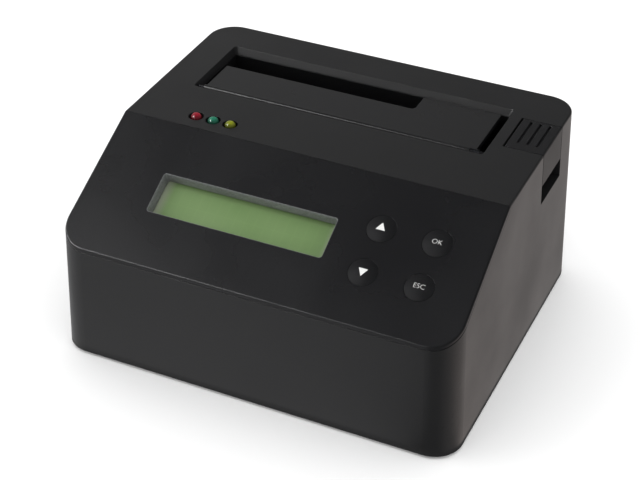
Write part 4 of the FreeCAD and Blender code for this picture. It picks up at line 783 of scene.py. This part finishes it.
class DOCK_OT_finish_lamps(bpy.types.Operator):
    """Tinted lamps in the deck and their spacers"""
    bl_idname = "dock.finish_lamps"
    bl_label = "Lamps"

    def execute(self, context):
        for name in ("red", "green", "amber"):
            main = getattr(context.scene.dock_colours, f"{name}_lamp")
            paint(lamp_epoxy(f"epoxy_{name}", main, f"led_{name}"), f"led_{name}")
        paint(moulded_plastic("nylon_white"), "led_spacers")
        return {"FINISHED"}


class DOCK_OT_make_springs(bpy.types.Operator):
    """Round-wire eject spring with closed ends, and the flap's torsion spring with two legs"""
    bl_idname = "dock.make_springs"
    bl_label = "Springs"

    def execute(self, context):
        sizes = context.scene.dock_sizes
        self.compression(sizes)
        self.torsion(sizes)
        return {"FINISHED"}

    def compression(self, sizes):
        """Open coil with a closed turn at each end."""
        low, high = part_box("eject_spring")
        middle = (low + high) / 2
        # the end turns all but touch the next
        closed = sizes.coil_wire * 1.03
        active_turns = 6
        run = (high.z - low.z - sizes.coil_wire - 2 * closed) / active_turns
        lower = self.coil(sizes.coil_radius, sizes.coil_wire, closed, 1)
        body = self.coil(sizes.coil_radius, sizes.coil_wire, run, active_turns)
        upper = self.coil(sizes.coil_radius, sizes.coil_wire, closed, 1)
        place(body, Matrix.Translation((0.0, 0.0, closed)))
        place(upper, Matrix.Translation((0.0, 0.0, closed + run * active_turns)))
        spring = join([lower, body, upper])
        close_ends(spring)
        place(spring, Matrix.Translation((middle.x, middle.y, low.z + sizes.coil_wire / 2)))
        bright = drawn_metal("spring_steel_drawn")
        settle(spring, "eject_spring_wire", "housing", bright, ["eject_spring"], angle=60)
        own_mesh(spring)

    def torsion(self, sizes):
        """Close-wound coil round the hinge pin; both legs go to the rear, the long one by the right wall."""
        low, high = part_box("flap_spring")
        middle = (low + high) / 2
        half_turns = 11
        rise = (high.x - low.x - sizes.torsion_wire) / half_turns
        spring = self.coil(sizes.torsion_radius, sizes.torsion_wire, rise, half_turns, math.pi)
        for end, side, leg in ((0.0, 1.0, sizes.torsion_tip), (half_turns * rise, -1.0, sizes.torsion_leg)):
            start_edit(spring, "VERT")
            pick(spring, lambda co, _: abs(co.y) < 0.01 * MM and co.x * side > 0
                 and abs(co.z - end) < 0.55 * sizes.torsion_wire, "verts")
            bpy.ops.mesh.select_mode(type="EDGE")
            extrude(0.0, -leg, 0.0)
            end_edit()
        close_ends(spring)
        along = Matrix.Rotation(math.pi / 2, 4, "Y") @ Matrix.Rotation(math.pi, 4, "Z")
        place(spring, Matrix.Translation((low.x + sizes.torsion_wire / 2, middle.y, middle.z)) @ along)
        dark = drawn_metal("music_wire_blackened")
        settle(spring, "flap_spring_wire", "housing", dark, ["flap_spring"], angle=60)

    def coil(self, radius, wire_diameter, rise, sweeps, sweep=2 * math.pi):
        """Round wire in a helix about the Z axis, in sweeps from the X axis that each rise a little."""
        deselect()
        bpy.ops.mesh.primitive_circle_add(vertices=14, radius=wire_diameter / 2, location=(radius, 0.0, 0.0),
                                          rotation=(math.pi / 2, 0.0, 0.0))
        piece = place(bpy.context.object)
        steps_in_turn = 40
        steps = round(steps_in_turn * sweep / (2 * math.pi))
        modify(piece, "SCREW", axis="Z", angle=sweep, screw_offset=rise, iterations=sweeps, steps=steps,
               render_steps=steps, use_smooth_shade=True)
        return piece


class DOCK_OT_make_screws(bpy.types.Operator):
    """Pan-head screws with a cross recess and a thread, in place of the plain ones"""
    bl_idname = "dock.make_screws"
    bl_label = "Screws"

    def execute(self, context):
        sizes = context.scene.dock_sizes
        zinc = drawn_metal("steel_zinc_plated")
        groups = {"base_screws": LEVEL, "bay_screws": LEVEL, "led_screws": LEVEL,
                  "board_screws": UPSIDE_DOWN, "lcd_screws": PANEL, "key_screws": PANEL}
        for node_name, turn in groups.items():
            low, high = inside_box(node_name, turn)
            inset = sizes.head_radius
            columns = sorted({round(low.x + inset, 5), round(high.x - inset, 5)})
            rows = sorted({round(low.y + inset, 5), round(high.y - inset, 5)})
            places = [turn @ Matrix.Translation((x, y, low.z)) for x in columns for y in rows]
            group = repeat(self.model(high.z - low.z, sizes), places)
            settle(group, f"{node_name}_cut", "housing", zinc, [node_name], angle=40)
        return {"FINISHED"}

    def model(self, overall, sizes):
        """One screw on its head at the origin, pointing up."""
        head_rounding = 0.4 * MM
        core_radius = 0.78 * sizes.thread_radius
        tip_height, tip_taper = 0.6 * MM, 0.45
        recess, recess_taper = (2.9 * MM, 0.62 * MM, 1.5 * MM), 0.6
        deselect()
        bpy.ops.mesh.primitive_cylinder_add(vertices=32, radius=sizes.head_radius, depth=sizes.head_height,
                                            location=(0.0, 0.0, sizes.head_height / 2))
        head = place(bpy.context.object)
        start_edit(head, "FACE")
        pick(head, lambda co, normal: normal.z < -0.5)
        bpy.ops.mesh.bevel(offset=head_rounding, segments=4)
        pick(head, lambda co, normal: normal.z > 0.5)
        bpy.ops.mesh.inset(thickness=sizes.head_radius - core_radius)
        extrude(0.0, 0.0, overall - sizes.head_height - tip_height)
        extrude(0.0, 0.0, tip_height)
        bpy.ops.transform.resize(value=(tip_taper, tip_taper, 1.0))
        end_edit()
        for turn in (0.0, math.pi / 2):
            cutter = block(recess, turn=Matrix.Rotation(turn, 4, "Z"))
            start_edit(cutter, "FACE")
            pick(cutter, lambda co, normal: normal.z > 0.5)
            bpy.ops.transform.resize(value=(recess_taper, recess_taper, 1.0))
            end_edit()
            modify(head, "BOOLEAN", object=cutter, operation="DIFFERENCE", solver="EXACT")
            bpy.data.objects.remove(cutter)
        return join([head, self.thread(overall, sizes)])

    def thread(self, overall, sizes):
        """A triangular ridge that winds up the stem and ends below the tip."""
        ridge = 0.3 * MM
        bare_start, bare_ends = 0.4 * MM, 1.2 * MM
        deselect()
        bpy.ops.mesh.primitive_circle_add(vertices=3, radius=ridge, rotation=(math.pi / 2, math.pi / 2, 0.0),
                                          location=(sizes.thread_radius - ridge, 0.0, 0.0))
        thread = place(bpy.context.object)
        turns = int((overall - sizes.head_height - bare_ends) / sizes.thread_pitch)
        modify(thread, "SCREW", axis="Z", angle=2 * math.pi, screw_offset=sizes.thread_pitch,
               iterations=turns, steps=20, render_steps=20)
        close_ends(thread)
        return place(thread, Matrix.Translation((0.0, 0.0, sizes.head_height + bare_start)))


class DOCK_OT_make_feet(bpy.types.Operator):
    """Rubber feet with a soft lower edge and a dished middle"""
    bl_idname = "dock.make_feet"
    bl_label = "Feet"

    def execute(self, context):
        radius = context.scene.dock_sizes.foot_radius
        taper = 0.933
        edge_rounding = 0.35 * MM
        ring_width, dish_slope, dish_depth = 1.6 * MM, 0.4 * MM, 0.3 * MM
        low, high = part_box("rubber_feet")
        tall = high.z - low.z
        deselect()
        bpy.ops.mesh.primitive_cylinder_add(vertices=48, radius=radius, depth=tall)
        foot = context.object
        start_edit(foot, "FACE")
        pick(foot, lambda co, normal: normal.z < -0.5)
        bpy.ops.transform.resize(value=(taper, taper, 1.0))
        bpy.ops.mesh.bevel(offset=edge_rounding, segments=4)
        pick(foot, lambda co, normal: normal.z < -0.99 and co.xy.length < 0.1 * MM)
        bpy.ops.mesh.inset(thickness=ring_width)
        bpy.ops.mesh.inset(thickness=dish_slope, depth=-dish_depth)
        end_edit()
        feet = repeat(foot, [Matrix.Translation((x, y, low.z + tall / 2))
                             for x in (low.x + radius, high.x - radius)
                             for y in (low.y + radius, high.y - radius)])
        settle(feet, "turned_feet", "housing", moulded_rubber("rubber_moulded"),
               ["rubber_feet"])
        return {"FINISHED"}


class DOCK_OT_make_drive_contacts(bpy.types.Operator):
    """Gold contacts in the two slots of the drive connector"""
    bl_idname = "dock.make_drive_contacts"
    bl_label = "Drive contacts"

    def execute(self, context):
        sizes = context.scene.dock_sizes
        low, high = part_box("sata_connector")
        flange, data_margin, power_margin, power_run = 1.4 * MM, 4.4 * MM, 2.5 * MM, 19.6 * MM
        slot_wall = (low.y + high.y) / 2 - 1.1 * MM
        tip_height = high.z - 0.4 * MM
        data_start = low.x + flange + data_margin
        power_start = high.x - flange - power_margin - power_run
        spots = [start + i * sizes.contact_pitch for start, count in ((data_start, 7), (power_start, 15))
                 for i in range(count)]
        contacts = repeat(self.blade(sizes.contact_width),
                          [Matrix.Translation((x, slot_wall, tip_height)) for x in spots])
        gold = drawn_metal("contact_gold_plated")
        settle(contacts, "drive_contacts", "housing", gold)
        paint(moulded_plastic("polymer_connector_black"), "sata_connector", "ribbon_headers")
        return {"FINISHED"}

    def blade(self, width):
        """A strip with a bowed tip, standing against a wall at its back."""
        thick, tall = 0.25 * MM, 5.4 * MM
        bow, bow_start, bow_end = 0.3 * MM, -2.4 * MM, -0.7 * MM
        blade = block((width, thick, tall), (0.0, thick / 2, -tall / 2))
        start_edit(blade, "EDGE")
        pick(blade, lambda co, way: abs(way.z) > 1 * MM, "edges")
        bpy.ops.mesh.subdivide(number_cuts=6)
        bpy.ops.mesh.select_mode(type="VERT")
        pick(blade, lambda co, _: bow_start < co.z < bow_end, "verts")
        bpy.ops.transform.translate(value=(0.0, bow, 0.0))
        end_edit()
        modify(blade, "BEVEL", width=0.05 * MM, segments=1, limit_method="ANGLE")
        return blade


class DOCK_OT_make_rear_sockets(bpy.types.Operator):
    """Tongue, contacts and pin of the rear sockets, marks of the power rocker, and their finishes"""
    bl_idname = "dock.make_rear_sockets"
    bl_label = "Rear sockets"

    def execute(self, context):
        nickel = drawn_metal("steel_nickel_plated")
        paint(nickel, "usb_port")
        paint(moulded_plastic("nylon_gloss_black"), "power_switch_body", "power_rocker")
        paint(moulded_plastic("nylon_jack_black"), "dc_jack")
        self.tongue()
        self.pin(nickel)
        self.marks(context.scene.dock_sizes)
        return {"FINISHED"}

    def tongue(self):
        """Plastic sleeve of the data socket's tongue, with two gold contacts above and two below."""
        low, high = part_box("usb_port")
        middle = (low.x + high.x) / 2
        front, rear = high.y - 1.1 * MM, low.y + 0.7 * MM
        bottom, top = low.z + 2.14 * MM, low.z + 4.86 * MM
        width = 6.12 * MM
        sleeve = block((width, front - rear, top - bottom), (middle, (front + rear) / 2, (bottom + top) / 2))
        start_edit(sleeve, "FACE")
        pick(sleeve, lambda co, normal: normal.y > 0.5)
        bpy.ops.mesh.bevel(offset=0.3 * MM, segments=3)
        end_edit()
        nylon = moulded_plastic("nylon_tongue_white")
        settle(sleeve, "socket_tongue", "housing", nylon)
        strip = block(sides=(1.0 * MM, 7.0 * MM, 0.2 * MM))
        modify(strip, "BEVEL", width=0.08 * MM, segments=2, limit_method="ANGLE")
        aside, behind = 1.25 * MM, 4.3 * MM
        contacts = repeat(strip, [Matrix.Translation((middle + x, front - behind, z))
                                  for x in (-aside, aside) for z in (bottom, top)])
        gold = bpy.data.materials["contact_gold_plated"]
        settle(contacts, "socket_contacts", "housing", gold)

    def pin(self, nickel):
        """Plated middle pin of the power jack, with a rounded tip."""
        low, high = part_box("dc_jack")
        middle = (low + high) / 2
        tip, root = high.y - 1.0 * MM, high.y - 9.3 * MM
        deselect()
        bpy.ops.mesh.primitive_cylinder_add(vertices=32, radius=1.1 * MM, depth=tip - root)
        pin = bpy.context.object
        start_edit(pin, "FACE")
        pick(pin, lambda co, normal: normal.z > 0.5)
        bpy.ops.mesh.bevel(offset=0.4 * MM, segments=4)
        end_edit()
        place(pin, Matrix.Translation((middle.x, (tip + root) / 2, middle.z))
              @ Matrix.Rotation(-math.pi / 2, 4, "X"))
        settle(pin, "jack_pin", "housing", nickel)

    def marks(self, sizes):
        """The on and off marks, printed square to the rocker, which rests tilted by half its range."""
        tilt = joint("rocker_tilt")
        rest = Matrix.Rotation(-math.radians(tilt["range_deg"][1]) / 2, 4, "Z")
        rocker = Matrix.Translation(tilt["pos_m"]) @ rest
        facing_back = Matrix.Rotation(math.pi, 4, "Z") @ Matrix.Rotation(math.pi / 2, 4, "X")
        aside, behind = 2.9 * MM, 6 * MM
        ink = bpy.data.materials["pad_printed_white"]
        for text, name, side in (("I", "mark_on", 1.0), ("O", "mark_off", -1.0)):
            mark = lettering(text, sizes.rocker_mark, cuts=1)
            mark.matrix_world = rocker @ Matrix.Translation((side * aside, behind, 0.0)) @ facing_back
            print_on(mark, "power_rocker", sizes.ink_film)
            settle(mark, name, "rocker", ink)


class DOCK_OT_finish_boards(bpy.types.Operator):
    """Finishes of the boards and what they carry"""
    bl_idname = "dock.finish_boards"
    bl_label = "Boards"

    def execute(self, context):
        mask = context.scene.dock_colours.solder_mask
        paint(solder_masked_board("glass_epoxy_green", mask), "main_board", "lcd_board", "key_board",
              "led_board")
        paint(moulded_plastic("epoxy_chip_black"), "board_chips")
        paint(drawn_metal("aluminium_can_drawn"), "board_capacitors")
        paint(moulded_plastic("nylon_switch_black"), "tact_switches")
        paint(moulded_plastic("acetal_plunger_white"), *(f"plunger_{key}" for key in KEYS))
        paint(flat_ribbon("vinyl_ribbon_grey"), "panel_ribbon")
        return {"FINISHED"}


class DOCK_PT_dressing(bpy.types.Panel):
    """Lists the steps that dress the dock"""
    bl_label = "Eraser dock"
    bl_space_type = "VIEW_3D"
    bl_region_type = "UI"
    bl_category = "Dock"

    def draw(self, context):
        column = self.layout.column()
        for operator in STEPS:
            column.operator(operator.bl_idname)


STEPS = (DOCK_OT_make_stage, DOCK_OT_finish_housing, DOCK_OT_make_key_marks, DOCK_OT_finish_display,
         DOCK_OT_finish_lamps, DOCK_OT_make_springs, DOCK_OT_make_screws, DOCK_OT_make_feet,
         DOCK_OT_make_drive_contacts, DOCK_OT_make_rear_sockets, DOCK_OT_finish_boards)
CLASSES = (DockSizes, DockColours, *STEPS, DOCK_PT_dressing)


def register():
    for item in CLASSES:
        bpy.utils.register_class(item)
    bpy.types.Scene.dock_sizes = bpy.props.PointerProperty(type=DockSizes)
    bpy.types.Scene.dock_colours = bpy.props.PointerProperty(type=DockColours)


def unregister():
    del bpy.types.Scene.dock_colours
    del bpy.types.Scene.dock_sizes
    for item in reversed(CLASSES):
        bpy.utils.unregister_class(item)


def main():
    register()
    bpy.ops.dock.make_stage()
    bpy.ops.dock.finish_housing()
    bpy.ops.dock.make_key_marks()
    bpy.ops.dock.finish_display()
    bpy.ops.dock.finish_lamps()
    bpy.ops.dock.make_springs()
    bpy.ops.dock.make_screws()
    bpy.ops.dock.make_feet()
    bpy.ops.dock.make_drive_contacts()
    bpy.ops.dock.make_rear_sockets()
    bpy.ops.dock.finish_boards()
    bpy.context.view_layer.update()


if __name__ == "__main__":
    main()
